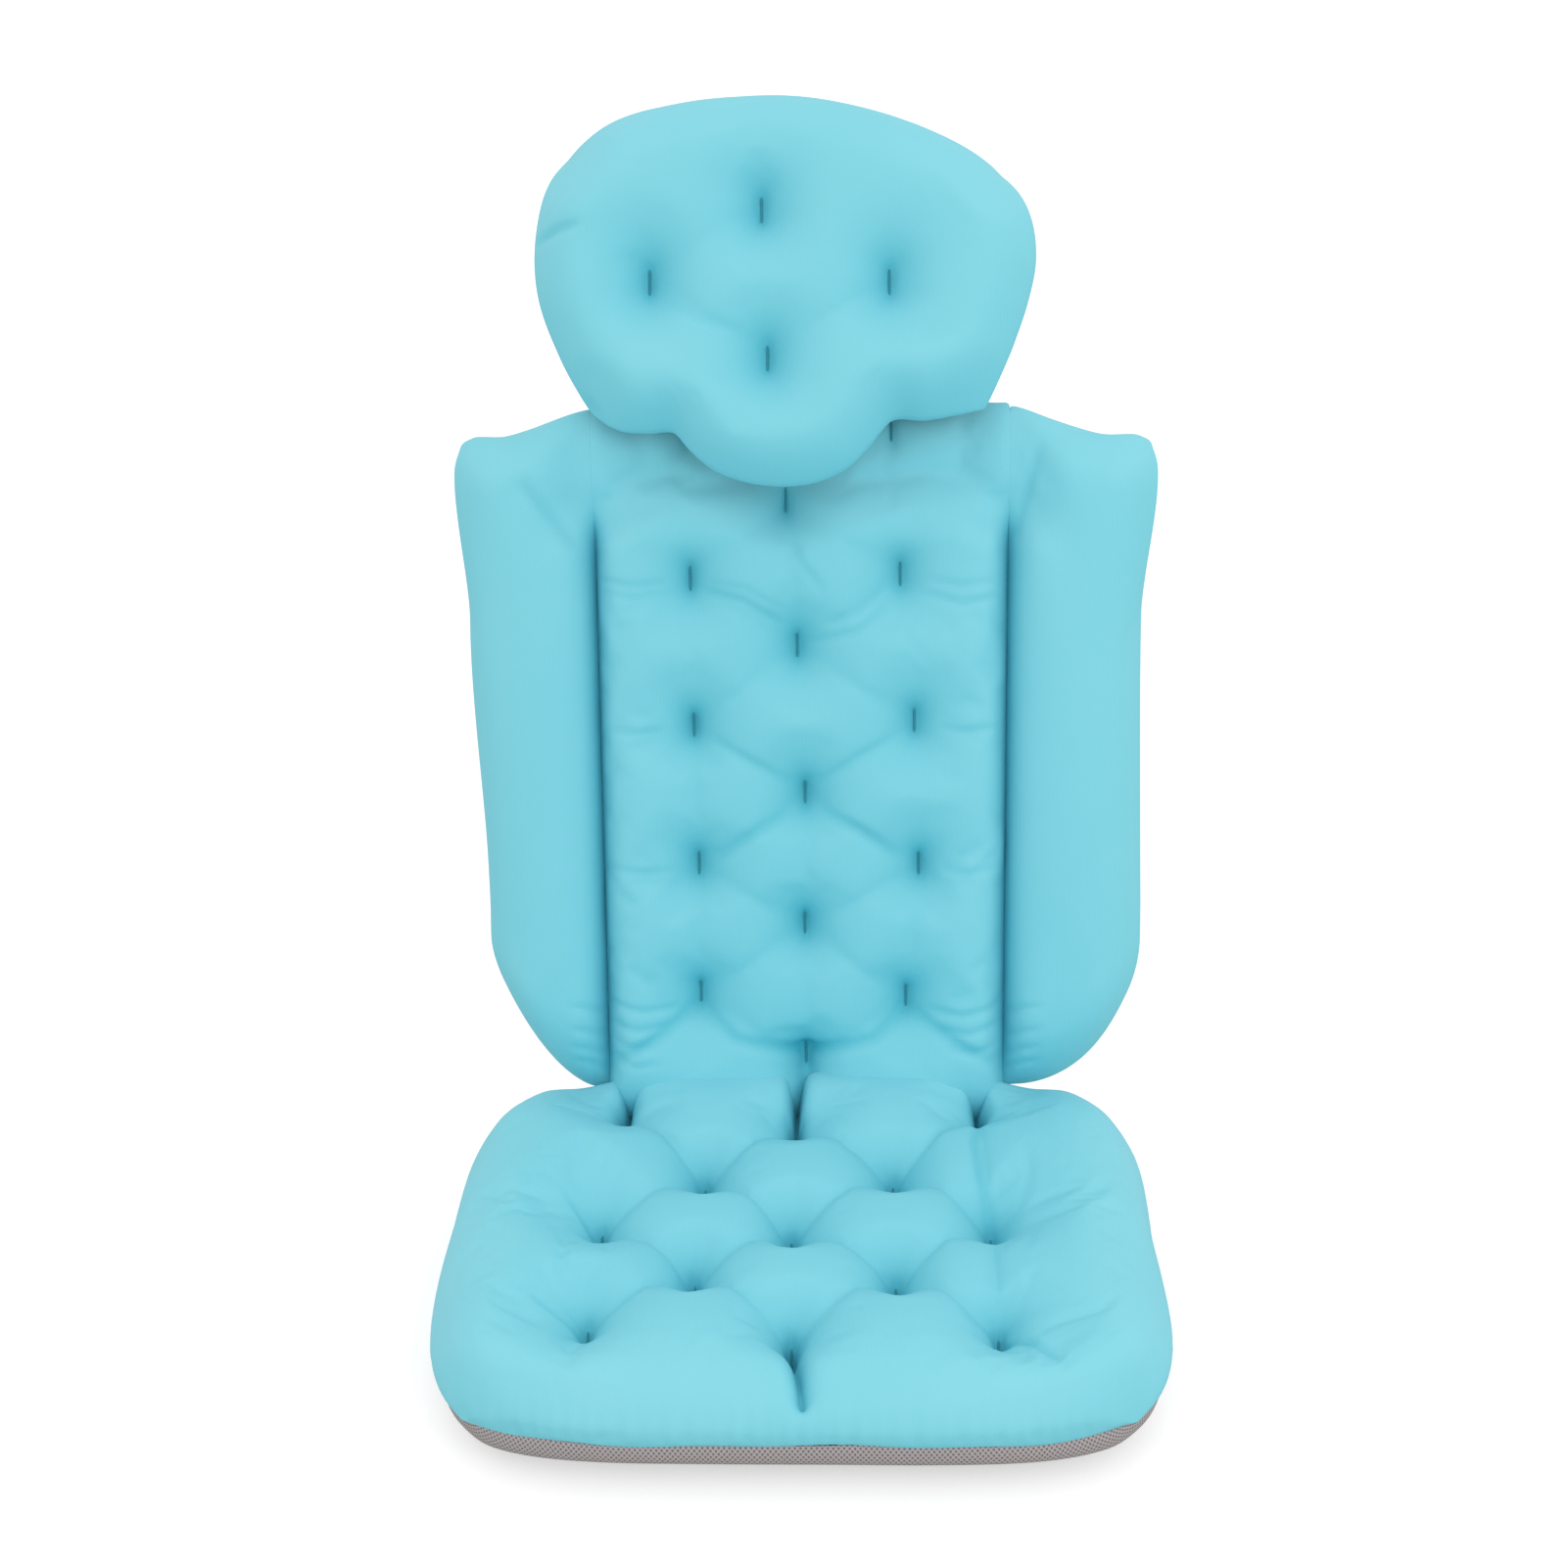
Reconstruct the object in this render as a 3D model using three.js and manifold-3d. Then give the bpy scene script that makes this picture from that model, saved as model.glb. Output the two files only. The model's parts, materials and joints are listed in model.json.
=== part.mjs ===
// Full-length bath pillow: a tufted seat pad, a tufted back pad with a stuffed wing on each
// side, and a head pillow that hangs over the top of the back. Every cushion is a stretch
// fabric cover sewn to a spacer-mesh base around loose filling, and the cushions are joined by
// sewn seams that fold. Suction cups with mushroom heads are buttoned through the mesh.
// Millimetres, +Z up, the front of the pillow faces -Y.

import * as THREE from 'three';
import { mergeVertices } from 'three/addons/utils/BufferGeometryUtils.js';
import Module from 'manifold-3d';

const wasm = await Module();
wasm.setup();

// Driving dimensions shared by the cushions.
const GAP = 0.3;                // air between two pieces that touch
const FABRIC = 1.5;             // cover fabric with its backing
const MESH = 3;                 // spacer mesh
const SEAM_HEIGHT = 9;          // the perimeter seam above the outer face of the mesh
const SEAM_BEAD_RADIUS = 2.2;   // rolled seam that two cushions fold about
const HEM = 4;                  // flat hem between a folding seam and the first stuffing
const DRAW_IN = 7;              // how far a free side is pulled in at its seam
const MESH_TURN = 3;            // rounding of the mesh where it turns up to the seam
const FILLING_EASE = 6;         // filling lies this far inside the outside of its cover

// Seat.
const SEAT_WIDTH = 432;
const SEAT_DEPTH = 320;
const SEAT_CROWN = 57;          // above the perimeter seam
const SEAT_TUFT_COLUMN = 57;
const SEAT_TUFT_ROW = 51.3;
const SEAT_FIRST_ROW = 62;      // from the folding seam
const SEAT_ROWS = 5;
const SEAT_SEAM_LENGTH = 232;

// Back panel. Lengths run up from the folding seam.
const BACK_RECLINE = THREE.MathUtils.degToRad(12);
const PANEL_HALF = 128;         // centre of the panel to each wing seam
const PANEL_FOOT_HALF = 118;    // half width where the panel meets the seat
const PANEL_FOOT_HEIGHT = 42;   // the panel widens over this height
const PANEL_HEIGHT = 475;
const PANEL_CROWN = 38;
const PANEL_NECK_CROWN = 20;    // flatter under the head pillow
const PANEL_NECK_REACH = 58;
const PANEL_TUFT_COLUMN = 67;
const PANEL_TUFT_ROW = 45;
const PANEL_FIRST_ROW = 55;
const PANEL_ROWS = 10;

// Wings.
const WING_REACH = 206;         // centre of the panel to the outer side of a wing
const WING_FLARE = 7;           // the top of a wing stands out by this much more
const WING_FOOT_TUCK = 14;      // the foot of a wing is this much narrower
const WING_FOOT_INNER = 43;
const WING_FOOT_RISE = 40;
const WING_SHORTFALL = 8;       // a wing ends this far below the top of the panel
const WING_TOP = PANEL_HEIGHT - WING_SHORTFALL;
const WING_TOP_DROP = 14;
const WING_CORNER_DROP = 12;
const WING_CROWN = 45;

// Head pillow. Heights run from the neck seam.
const HEAD_LEAN = THREE.MathUtils.degToRad(10);  // leans back from the plane of the back
const NECK_DROP = 5;            // neck seam below the top of the back panel
const HEAD_STAND = 30;          // mesh of the head above the mesh of the back, at the neck
const HEAD_HALF = 146;
const HEAD_NECK_HALF = 118;
const HEAD_SHOULDER_HALF = 133;
const HEAD_NECK_RISE = 7;
const HEAD_SHOULDER_RISE = 140;
const HEAD_TOP_RISE = 183;
const HEAD_JAW_DROP = 9;
const CHIN_DROP = 33;
const CHIN_HALF = 66;
const HEAD_CROWN = 50;
const HEAD_TUFT_SIDE = 70;
const HEAD_TUFT_LOW = 35;
const HEAD_TUFT_MID = 77;
const HEAD_TUFT_HIGH = 119;
const NECK_SEAM_LENGTH = 190;
const FLAP_THICKNESS = 1.2;

// Suction cups, one moulded piece each, and the patches that they button through.
const CUP_RIM = 22;
const CUP_LIP = 2.4;            // flat ring of the rim
const CUP_STAND = 13.5;         // outer face of the mesh to the rim
const CUP_SHOULDER = 8;
const CUP_STEM = 4;
const CUP_KNOB = 7;
const CUP_KNOB_HEIGHT = 3;
const CUP_HOLLOW = 5;
const CUP_WALL = 2.6;
const PATCH_RADIUS = 14;
const PATCH_THICKNESS = 1.4;
const SEAT_CUP_SIDE = 112;
const SEAT_CUP_REAR = 34;
const SEAT_CUP_FRONT = 240;
const BACK_CUP_SIDE = 72;
const BACK_CUP_LOW = 130;
const BACK_CUP_DROP = 90;       // high cups below the top of the panel
const HEAD_CUP_SIDE = 62;
const HEAD_CUP_RISE = 84;

// How the stuffing is shaped: each share is how far the crown is pulled down.
const TUFT_SHARE = 0.6;
const TUFT_SPREAD = 25;
const CREASE_SHARE = 0.2;       // fold between two neighbouring tufts
const CREASE_SPREAD = 13;
const CHANNEL_SHARE = 0.4;      // sewn channel
const CHANNEL_SPREAD = 15;

// How square the rounded outlines are: 2 is an ellipse, and more is squarer.
const SEAT_REAR_POWER = 6;
const SEAT_FRONT_POWER = 4;
const WING_CORNER_POWER = 8;
const HEAD_TOP_POWER = 2.4;

// Where the outlines change, and lines of the wings' grid, as shares of a width or a height.
const WING_FLARE_SHARE = 0.67;  // a wing stands out above this
const WING_TUCK_SHARE = 0.25;   // and is tucked in below this
const WING_LINE_SHARES = [0, 0.12, 0.3, 0.5, 0.7, 0.88, 1];
const EDGE_ROW_SHARES = [0, 0.07, 0.93, 1];
const HEAD_ROW_SHARES = [0, 0.17, 0.83, 1];
const HEAD_WIDEST_SHARE = 0.6;

const HINGE_OFFSET = SEAM_BEAD_RADIUS + GAP;
const RIM_SEGMENTS = 18;
const HOLE_SEGMENTS = 10;
const OVERRUN = 1;              // a cutting tool passes a face by this much

// Edge kinds: run and power give the rise of the stuffing, belly the height at the outline.
const FREE_EDGE = { run: 34, power: 2.2, bellyShare: 0.42, inset: DRAW_IN };
const FOLD_EDGE = { run: 17, power: 2.2, bellyShare: 0.14, inset: -HEM };
const SEAT_FOLD_EDGE = { run: 30, power: 2.2, bellyShare: 0.1, inset: -HEM };
const FOOT_EDGE = { run: 95, power: 1.1, bellyShare: 0.05, inset: -HEM };
const NECK_EDGE = { run: 34, power: 1.6, bellyShare: 0.1, inset: -HEM };

const { clamp, lerp, smoothstep } = THREE.MathUtils;
const everySecond = (list) => list.filter((_, i) => i % 2 === 0);
const mirrored = (list) => [...list.slice(1).map((x) => -x).reverse(), ...list];
const squircle = (share, power) => (1 - Math.abs(share) ** power / 2) ** (1 / power);

// A surface under construction: points in space and the triangles between them.
class Skin {
  points = [];
  faces = [];

  addAll(list) {
    const first = this.points.length;
    this.points.push(...list);
    return list.map((_, i) => first + i);
  }

  strip(lower, upper) {
    lower.forEach((a, i) => {
      const b = lower[(i + 1) % lower.length];
      const c = upper[(i + 1) % upper.length];
      this.faces.push([a, b, c], [a, c, upper[i]]);
    });
  }

  // Each cell is split along the diagonal whose ends lie nearer in height on the guide rows.
  grid(rows, guide = rows) {
    const fall = (from, to) => Math.abs(this.points[from].z - this.points[to].z);
    const corners = (list, j, i) => [list[j][i], list[j][i + 1], list[j + 1][i + 1], list[j + 1][i]];
    for (let j = 0; j + 1 < rows.length; j += 1) {
      for (let i = 0; i + 1 < rows[j].length; i += 1) {
        const [a, b, c, d] = corners(rows, j, i);
        const [ga, gb, gc, gd] = corners(guide, j, i);
        const rising = fall(ga, gc) < fall(gb, gd);
        this.faces.push(...(rising ? [[a, b, c], [a, c, d]] : [[a, b, d], [b, c, d]]));
      }
    }
  }

  // Closes an anticlockwise loop with a flat fan that looks up (+w) or down.
  close(loop, up) {
    const centre = new THREE.Vector3();
    for (const k of loop) centre.addScaledVector(this.points[k], 1 / loop.length);
    const [hub] = this.addAll([centre]);
    loop.forEach((a, i) => {
      const b = loop[(i + 1) % loop.length];
      this.faces.push(up ? [a, b, hub] : [b, a, hub]);
    });
  }

  flip(from) {
    for (let k = from; k < this.faces.length; k += 1) this.faces[k].reverse();
  }

  geometry() {
    const made = new THREE.BufferGeometry().setFromPoints(this.points);
    made.setIndex(this.faces.flat());
    return made;
  }
}

function toSolid(geometry) {
  const bare = geometry.clone();
  bare.deleteAttribute('normal');
  bare.deleteAttribute('uv');
  const merged = mergeVertices(bare);
  return new wasm.Manifold(new wasm.Mesh({
    numProp: 3,
    vertProperties: new Float32Array(merged.attributes.position.array),
    triVerts: new Uint32Array(merged.index.array),
  }));
}

function cutAway(geometry, tools) {
  const solid = tools.reduce((body, tool) => body.subtract(toSolid(tool)), toSolid(geometry));
  const mesh = solid.getMesh();
  const made = new THREE.BufferGeometry();
  made.setAttribute('position', new THREE.BufferAttribute(mesh.vertProperties, 3));
  made.setIndex([...mesh.triVerts]);
  return made;
}

// A plan is a four-sided outline: left and right are functions of b (0 at the bottom, 1 at the
// top), bottom and top are functions of a (0 at the left, 1 at the right).
function planPoint(plan, a, b) {
  const u = lerp(plan.left(b), plan.right(b), a);
  const v = lerp(plan.bottom(a), plan.top(a), b);
  return new THREE.Vector3(u, v, 0);
}

// Lines of the plan's grid as shares: each stop is a place, with so many steps up to the next.
function gridShares(stops, steps) {
  const shares = [];
  steps.forEach((count, i) => {
    for (let k = 0; k < count; k += 1) shares.push(lerp(stops[i], stops[i + 1], k / count));
  });
  shares.push(stops[stops.length - 1]);
  const [low, high] = [shares[0], shares[shares.length - 1]];
  return shares.map((x) => (x - low) / (high - low));
}

const edgeRise = (edge, inward) => edge.bellyShare + (1 - edge.bellyShare)
  * (1 - (1 - clamp(inward / edge.run, 0, 1)) ** edge.power);

function distanceToSegment(p, [from, to]) {
  const closest = new THREE.Vector3();
  new THREE.Line3(from, to).closestPointToPoint(p, true, closest);
  return closest.distanceTo(p);
}

// Height of the cover over the seam: the crown, let down at its edges, tufts and channels.
function stuffingHeight(plan, p, a, b) {
  const { edges } = plan;
  let height = plan.crown(p);
  height *= edgeRise(edges.left, p.x - plan.left(b)) * edgeRise(edges.right, plan.right(b) - p.x);
  height *= edgeRise(edges.bottom, p.y - plan.bottom(a)) * edgeRise(edges.top, plan.top(a) - p.y);
  const pull = (distance, spread, share) => 1 - share * Math.exp(-((distance / spread) ** 2));
  for (const tuft of plan.tufts) height *= pull(tuft.distanceTo(p), TUFT_SPREAD, TUFT_SHARE);
  for (const fold of plan.creases) {
    height *= pull(distanceToSegment(p, fold), CREASE_SPREAD, CREASE_SHARE);
  }
  for (const seam of plan.channels) {
    height *= pull(distanceToSegment(p, seam), CHANNEL_SPREAD, CHANNEL_SHARE);
  }
  return height;
}

// The cover's upper surface as rows of points. The grid point nearest a tuft moves onto it.
function crownRows(plan) {
  const rows = plan.bShares.map((b) => plan.aShares.map((a) => planPoint(plan, a, b)));
  const inner = rows.slice(1, -1).flatMap((row) => row.slice(1, -1));
  for (const tuft of plan.tufts) {
    const nearest = inner.reduce((m, p) => (p.distanceTo(tuft) < m.distanceTo(tuft) ? p : m));
    nearest.copy(tuft);
  }
  rows.forEach((row, j) => row.forEach((p, i) => {
    p.z = SEAM_HEIGHT + stuffingHeight(plan, p.clone().setZ(0), plan.aShares[i], plan.bShares[j]);
  }));
  return rows;
}

// The boundary of rows, anticlockwise from the bottom left, with the edge that each point is on.
function rimOf(rows, edges) {
  const last = rows.length - 1;
  const side = rows[0].length - 1;
  const bottom = rows[0].slice(0, side).map((item) => [item, edges?.bottom]);
  const right = rows.slice(0, last).map((row) => [row[side], edges?.right]);
  const top = rows[last].slice(1).reverse().map((item) => [item, edges?.top]);
  const left = rows.slice(1).reverse().map((row) => [row[0], edges?.left]);
  return [...bottom, ...right, ...top, ...left];
}

// Moves each point of a flat loop inwards by its own amount, keeping z.
function insetLoop(loop, amountAt) {
  return loop.map((p, i) => {
    const before = loop[(i + loop.length - 1) % loop.length];
    const after = loop[(i + 1) % loop.length];
    const along = after.clone().sub(before).setZ(0).normalize();
    return p.clone().add(new THREE.Vector3(-along.y, along.x, 0).multiplyScalar(amountAt(i)));
  });
}

// The sewn seam under the outline. A corner takes the mean of its two sides.
function seamLoop(plan, rows) {
  const rim = rimOf(rows, plan.edges);
  const outline = rim.map(([p]) => p.clone().setZ(SEAM_HEIGHT));
  return insetLoop(outline, (i) => {
    const neighbour = rim[(i + rim.length - 1) % rim.length][1];
    return (rim[i][1].inset + neighbour.inset) / 2;
  });
}

// Open shell of fabric: the crown and its side wall down to the seam, and the same inside.
function coverGeometry(plan, rows, seam) {
  const skin = new Skin();
  const outer = rows.map((row) => skin.addAll(row));
  const outerSeam = skin.addAll(seam);
  skin.grid(outer);
  skin.strip(outerSeam, rimOf(outer).map(([k]) => k));
  const shape = skin.geometry();
  shape.computeVertexNormals();
  const normals = shape.attributes.normal;
  const inward = (k) => {
    const p = skin.points[k].clone()
      .addScaledVector(new THREE.Vector3().fromBufferAttribute(normals, k), -FABRIC);
    return p.setZ(Math.max(p.z, SEAM_HEIGHT));
  };
  const start = skin.faces.length;
  const inner = outer.map((row) => skin.addAll(row.map(inward)));
  const innerSeam = skin.addAll(insetLoop(seam, () => FABRIC));
  skin.grid(inner, outer);
  skin.strip(innerSeam, rimOf(inner).map(([k]) => k));
  skin.strip(outerSeam, innerSeam);
  skin.flip(start);
  return skin.geometry();
}

// Tray of spacer mesh: flat outside, turned up to the seam.
function meshGeometry(seam) {
  const skin = new Skin();
  const ring = (inset, height) => skin.addAll(
    everySecond(insetLoop(seam, () => inset).map((p) => p.setZ(height))));
  const rimHeight = SEAM_HEIGHT - GAP;
  const outerRim = ring(0, rimHeight);
  const outerSide = ring(MESH_TURN, MESH);
  const outerFoot = ring(MESH_TURN + MESH + MESH, 0);
  const innerRim = ring(MESH, rimHeight);
  const innerFoot = ring(MESH_TURN + MESH + MESH, MESH);
  skin.strip(outerSide, outerRim);
  skin.strip(outerFoot, outerSide);
  skin.close(outerFoot, false);
  skin.strip(outerRim, innerRim);
  skin.strip(innerRim, innerFoot);
  skin.close(innerFoot, true);
  return skin.geometry();
}

// Loose filling: every second line of the cover's grid, at the lowest of the points around it.
function fillingGeometry(plan, rows, seam) {
  const low = (j, i) => Math.min(...[-1, 0, 1].flatMap((dj) => [-1, 0, 1]
    .map((di) => rows[j + dj]?.[i + di]?.z ?? Infinity)));
  const floor = SEAM_HEIGHT - FABRIC;
  const soft = rows.map((row, j) => row
    .map((p, i) => p.clone().setZ(Math.max(low(j, i) - FILLING_EASE, floor))));
  const border = rimOf(soft).map(([p]) => p);
  insetLoop(border, () => DRAW_IN + 2 * HEM).forEach((p, i) => border[i].copy(p));
  const skin = new Skin();
  const top = everySecond(soft).map((row) => skin.addAll(everySecond(row)));
  const inset = MESH_TURN + 2 * MESH + 2 * HEM;
  const foot = insetLoop(seam, () => inset).map((p) => p.setZ(MESH + GAP));
  const footLoop = skin.addAll(everySecond(foot));
  skin.grid(top);
  skin.strip(footLoop, rimOf(top).map(([k]) => k));
  skin.close(footLoop, false);
  return skin.geometry();
}

// Two tufts that lie a column and a row apart share a fold.
function creasesBetween(tufts, column, row) {
  const reach = Math.hypot(column, row) + GAP;
  return tufts.flatMap((from, i) => tufts.slice(i + 1)
    .filter((to) => to.distanceTo(from) < reach).map((to) => [from, to]));
}

const flatPoint = (u, v) => new THREE.Vector3(u, v, 0);

// Tufts of a pad in rows, which take turns with two sets of columns.
function tuftRows(count, column, firstRow, rowStep, columnSets) {
  return Array.from({ length: count }, (_, k) => columnSets[k % columnSets.length]
    .map((place) => flatPoint(place * column, firstRow + k * rowStep))).flat();
}

// Seat: v runs from the front (most negative) to the folding seam at v = 0.
function seatPlan() {
  const rear = -HINGE_OFFSET - HEM;
  const front = -HINGE_OFFSET - SEAT_DEPTH;
  const middle = (rear + front) / 2;
  const half = (rear - front) / 2;
  const across = (a) => 2 * a - 1;
  const side = (b) => SEAT_WIDTH / 2
    * squircle(across(b), across(b) < 0 ? SEAT_FRONT_POWER : SEAT_REAR_POWER);
  const columns = mirrored([0, 2 * SEAT_TUFT_COLUMN]);
  const tufts = tuftRows(
    SEAT_ROWS, SEAT_TUFT_COLUMN, -SEAT_FIRST_ROW, -SEAT_TUFT_ROW, [[-2, 0, 2], [-1, 1]]);
  const lastRow = -SEAT_FIRST_ROW - (SEAT_ROWS - 1) * SEAT_TUFT_ROW;
  return {
    left: (b) => -side(b),
    right: side,
    bottom: (a) => middle - half * squircle(across(a), SEAT_FRONT_POWER),
    top: (a) => middle + half * squircle(across(a), SEAT_REAR_POWER),
    aShares: gridShares([-SEAT_WIDTH / 2, ...columns, SEAT_WIDTH / 2], [4, 6, 6, 4]),
    bShares: gridShares([front, lastRow, -SEAT_FIRST_ROW, rear], [3, 8, 3]),
    crown: () => SEAT_CROWN,
    edges: { left: FREE_EDGE, right: FREE_EDGE, bottom: FREE_EDGE, top: SEAT_FOLD_EDGE },
    tufts,
    creases: creasesBetween(tufts, SEAT_TUFT_COLUMN, SEAT_TUFT_ROW),
    channels: [
      ...columns.map((u) => [flatPoint(u, -SEAT_FIRST_ROW), flatPoint(u, rear)]),
      [flatPoint(0, lastRow), flatPoint(0, front)],
    ],
  };
}

// Back panel between the two wing seams.
function panelPlan() {
  const bottom = HINGE_OFFSET + HEM;
  const side = PANEL_HALF - HINGE_OFFSET - HEM;
  const foot = PANEL_FOOT_HALF - HEM;
  const heightOf = (b) => lerp(bottom, PANEL_HEIGHT, b);
  const half = (b) => lerp(foot, side, smoothstep(heightOf(b), bottom, PANEL_FOOT_HEIGHT));
  const tufts = tuftRows(
    PANEL_ROWS, PANEL_TUFT_COLUMN, PANEL_FIRST_ROW, PANEL_TUFT_ROW, [[0], [-1, 1]]);
  const lastRow = PANEL_FIRST_ROW + (PANEL_ROWS - 1) * PANEL_TUFT_ROW;
  return {
    left: (b) => -half(b),
    right: half,
    bottom: () => bottom,
    top: () => PANEL_HEIGHT,
    aShares: gridShares(mirrored([0, PANEL_TUFT_COLUMN, side]), [3, 3, 3, 3]),
    bShares: gridShares([bottom, PANEL_FIRST_ROW, lastRow, PANEL_HEIGHT], [3, 18, 1]),
    crown: (p) => lerp(PANEL_CROWN, PANEL_NECK_CROWN,
      smoothstep(p.y, PANEL_HEIGHT - 2 * PANEL_NECK_REACH, PANEL_HEIGHT - PANEL_NECK_REACH)),
    edges: { left: FOLD_EDGE, right: FOLD_EDGE, bottom: FOOT_EDGE, top: NECK_EDGE },
    tufts,
    creases: creasesBetween(tufts, PANEL_TUFT_COLUMN, PANEL_TUFT_ROW),
    channels: [[flatPoint(0, bottom), flatPoint(0, PANEL_FIRST_ROW)]],
  };
}

// A wing lies on the side given by hand: -1 for the left, 1 for the right.
function wingPlan(hand) {
  const inner = () => PANEL_HALF + HINGE_OFFSET + HEM;
  const outer = (b) => WING_REACH + WING_FLARE * smoothstep(b, WING_FLARE_SHARE, 1)
    - WING_FOOT_TUCK * (1 - smoothstep(b, 0, WING_TUCK_SHARE));
  const bottom = (a) => WING_FOOT_INNER + WING_FOOT_RISE * a ** 2;
  const top = (a) => WING_TOP - WING_TOP_DROP * a - WING_CORNER_DROP * a ** WING_CORNER_POWER;
  const right = hand > 0;
  const flipped = (edge) => (a) => edge(1 - a);
  return {
    left: right ? inner : (b) => -outer(b),
    right: right ? outer : () => -inner(),
    bottom: right ? bottom : flipped(bottom),
    top: right ? top : flipped(top),
    aShares: right ? WING_LINE_SHARES : WING_LINE_SHARES.map((a) => 1 - a).reverse(),
    bShares: gridShares(EDGE_ROW_SHARES, [2, 10, 2]),
    crown: () => WING_CROWN,
    edges: {
      left: right ? FOLD_EDGE : FREE_EDGE,
      right: right ? FREE_EDGE : FOLD_EDGE,
      bottom: FREE_EDGE,
      top: FREE_EDGE,
    },
    tufts: [],
    creases: [],
    channels: [],
  };
}

// Head pillow: a broad top, a narrower neck and a chin that hangs over the back panel.
function headPlan() {
  const half = (b) => (b < HEAD_WIDEST_SHARE
    ? lerp(HEAD_HALF, HEAD_NECK_HALF, (1 - b / HEAD_WIDEST_SHARE) ** 2)
    : lerp(HEAD_HALF, HEAD_SHOULDER_HALF, ((b - HEAD_WIDEST_SHARE) / (1 - HEAD_WIDEST_SHARE)) ** 2));
  const top = (a) => HEAD_SHOULDER_RISE
    + (HEAD_TOP_RISE - HEAD_SHOULDER_RISE) * (1 - Math.abs(2 * a - 1) ** HEAD_TOP_POWER);
  const bottom = (a) => {
    const u = Math.abs(2 * a - 1) * HEAD_NECK_HALF;
    const jaw = smoothstep(HEAD_NECK_HALF - u, 0, HEAD_NECK_HALF - CHIN_HALF);
    const chin = Math.sqrt(Math.max(0, 1 - (u / CHIN_HALF) ** 2));
    return HEAD_NECK_RISE - (HEAD_NECK_RISE + HEAD_JAW_DROP) * jaw - CHIN_DROP * chin;
  };
  const tufts = [
    flatPoint(0, HEAD_TUFT_LOW), flatPoint(-HEAD_TUFT_SIDE, HEAD_TUFT_MID),
    flatPoint(HEAD_TUFT_SIDE, HEAD_TUFT_MID), flatPoint(0, HEAD_TUFT_HIGH),
  ];
  return {
    left: (b) => -half(b),
    right: half,
    bottom,
    top,
    aShares: gridShares(mirrored([0, CHIN_HALF, HEAD_NECK_HALF]), [3, 5, 5, 3]),
    bShares: gridShares(HEAD_ROW_SHARES, [2, 8, 2]),
    crown: () => HEAD_CROWN,
    edges: { left: FREE_EDGE, right: FREE_EDGE, bottom: FREE_EDGE, top: FREE_EDGE },
    tufts,
    creases: creasesBetween(tufts, HEAD_TUFT_SIDE, HEAD_TUFT_HIGH - HEAD_TUFT_MID),
    channels: [],
  };
}

const COLOURS = {
  cover: { color: 0x7dd3e0, roughness: 0.7, metalness: 0 },
  mesh: { color: 0x9c9394, roughness: 0.85, metalness: 0 },
  filling: { color: 0xf2f2ee, roughness: 0.95, metalness: 0 },
  cup: { color: 0xd9dcd8, roughness: 0.25, metalness: 0 },
  patch: { color: 0x8b8586, roughness: 0.8, metalness: 0 },
};

function piece(name, geometry, finish) {
  const made = new THREE.Mesh(geometry, new THREE.MeshStandardMaterial(COLOURS[finish]));
  made.name = name;
  return made;
}

// Profile of a suction cup turned about its stem, mesh face at height 0 and rim below.
function cupGeometry() {
  const neck = -PATCH_THICKNESS - 2 * GAP;
  const under = MESH + GAP;
  const over = under + CUP_KNOB_HEIGHT;
  const profile = [
    [0, over], [CUP_KNOB - CUP_KNOB_HEIGHT / 2, over], [CUP_KNOB, under],
    [CUP_STEM, under], [CUP_STEM, neck], [CUP_SHOULDER, neck],
    [CUP_RIM, CUP_WALL - CUP_STAND], [CUP_RIM, -CUP_STAND], [CUP_RIM - CUP_LIP, -CUP_STAND],
    [(CUP_RIM + CUP_STEM) / 2, CUP_HOLLOW - CUP_STAND], [0, CUP_HOLLOW - CUP_STAND],
  ];
  return turned(profile, RIM_SEGMENTS);
}

// Lathe about the local w axis.
function turned(profile, segments) {
  const points = profile.map(([r, h]) => new THREE.Vector2(r, h)).reverse();
  return new THREE.LatheGeometry(points, segments).rotateX(Math.PI / 2);
}

function patchGeometry() {
  const bore = CUP_STEM + GAP;
  const outer = PATCH_RADIUS;
  const low = -GAP - PATCH_THICKNESS;
  const profile = [[bore, -GAP], [outer, -GAP], [outer, low], [bore, low], [bore, -GAP]];
  return turned(profile, HOLE_SEGMENTS);
}

const post = (radius, from, to, place) => new THREE.CylinderGeometry(
  radius, radius, to - from, HOLE_SEGMENTS).rotateX(Math.PI / 2)
  .translate(place.x, place.y, (from + to) / 2);

// A whole cushion: cover, filling and mesh, with its cups buttoned through the mesh.
function cushion(name, plan, cups) {
  const rows = crownRows(plan);
  const seam = seamLoop(plan, rows);
  const group = new THREE.Group();
  const places = cups.map(([, u, v]) => flatPoint(u, v));
  const holes = places.map((p) => post(CUP_STEM + GAP, -OVERRUN, MESH + OVERRUN, p));
  const pocket = MESH + GAP + CUP_KNOB_HEIGHT + GAP;
  const pockets = places.map((p) => post(CUP_KNOB + GAP, 0, pocket, p));
  group.add(piece(`${name}_cover`, coverGeometry(plan, rows, seam), 'cover'));
  const filling = cutAway(fillingGeometry(plan, rows, seam), pockets);
  group.add(piece(`${name}_filling`, filling, 'filling'));
  group.add(piece(`${name}_mesh`, cutAway(meshGeometry(seam), holes), 'mesh'));
  for (const [place, u, v] of cups) {
    const cup = piece(`${name}_cup_${place}`, cupGeometry(), 'cup');
    const patch = piece(`${name}_cup_patch_${place}`, patchGeometry(), 'patch');
    cup.position.set(u, v, 0);
    patch.position.set(u, v, 0);
    group.add(cup, patch);
  }
  return group;
}

// Two cups a row, left and right.
const cupPair = (row, side, v) => [[`${row}left`, -side, v], [`${row}right`, side, v]];

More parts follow.
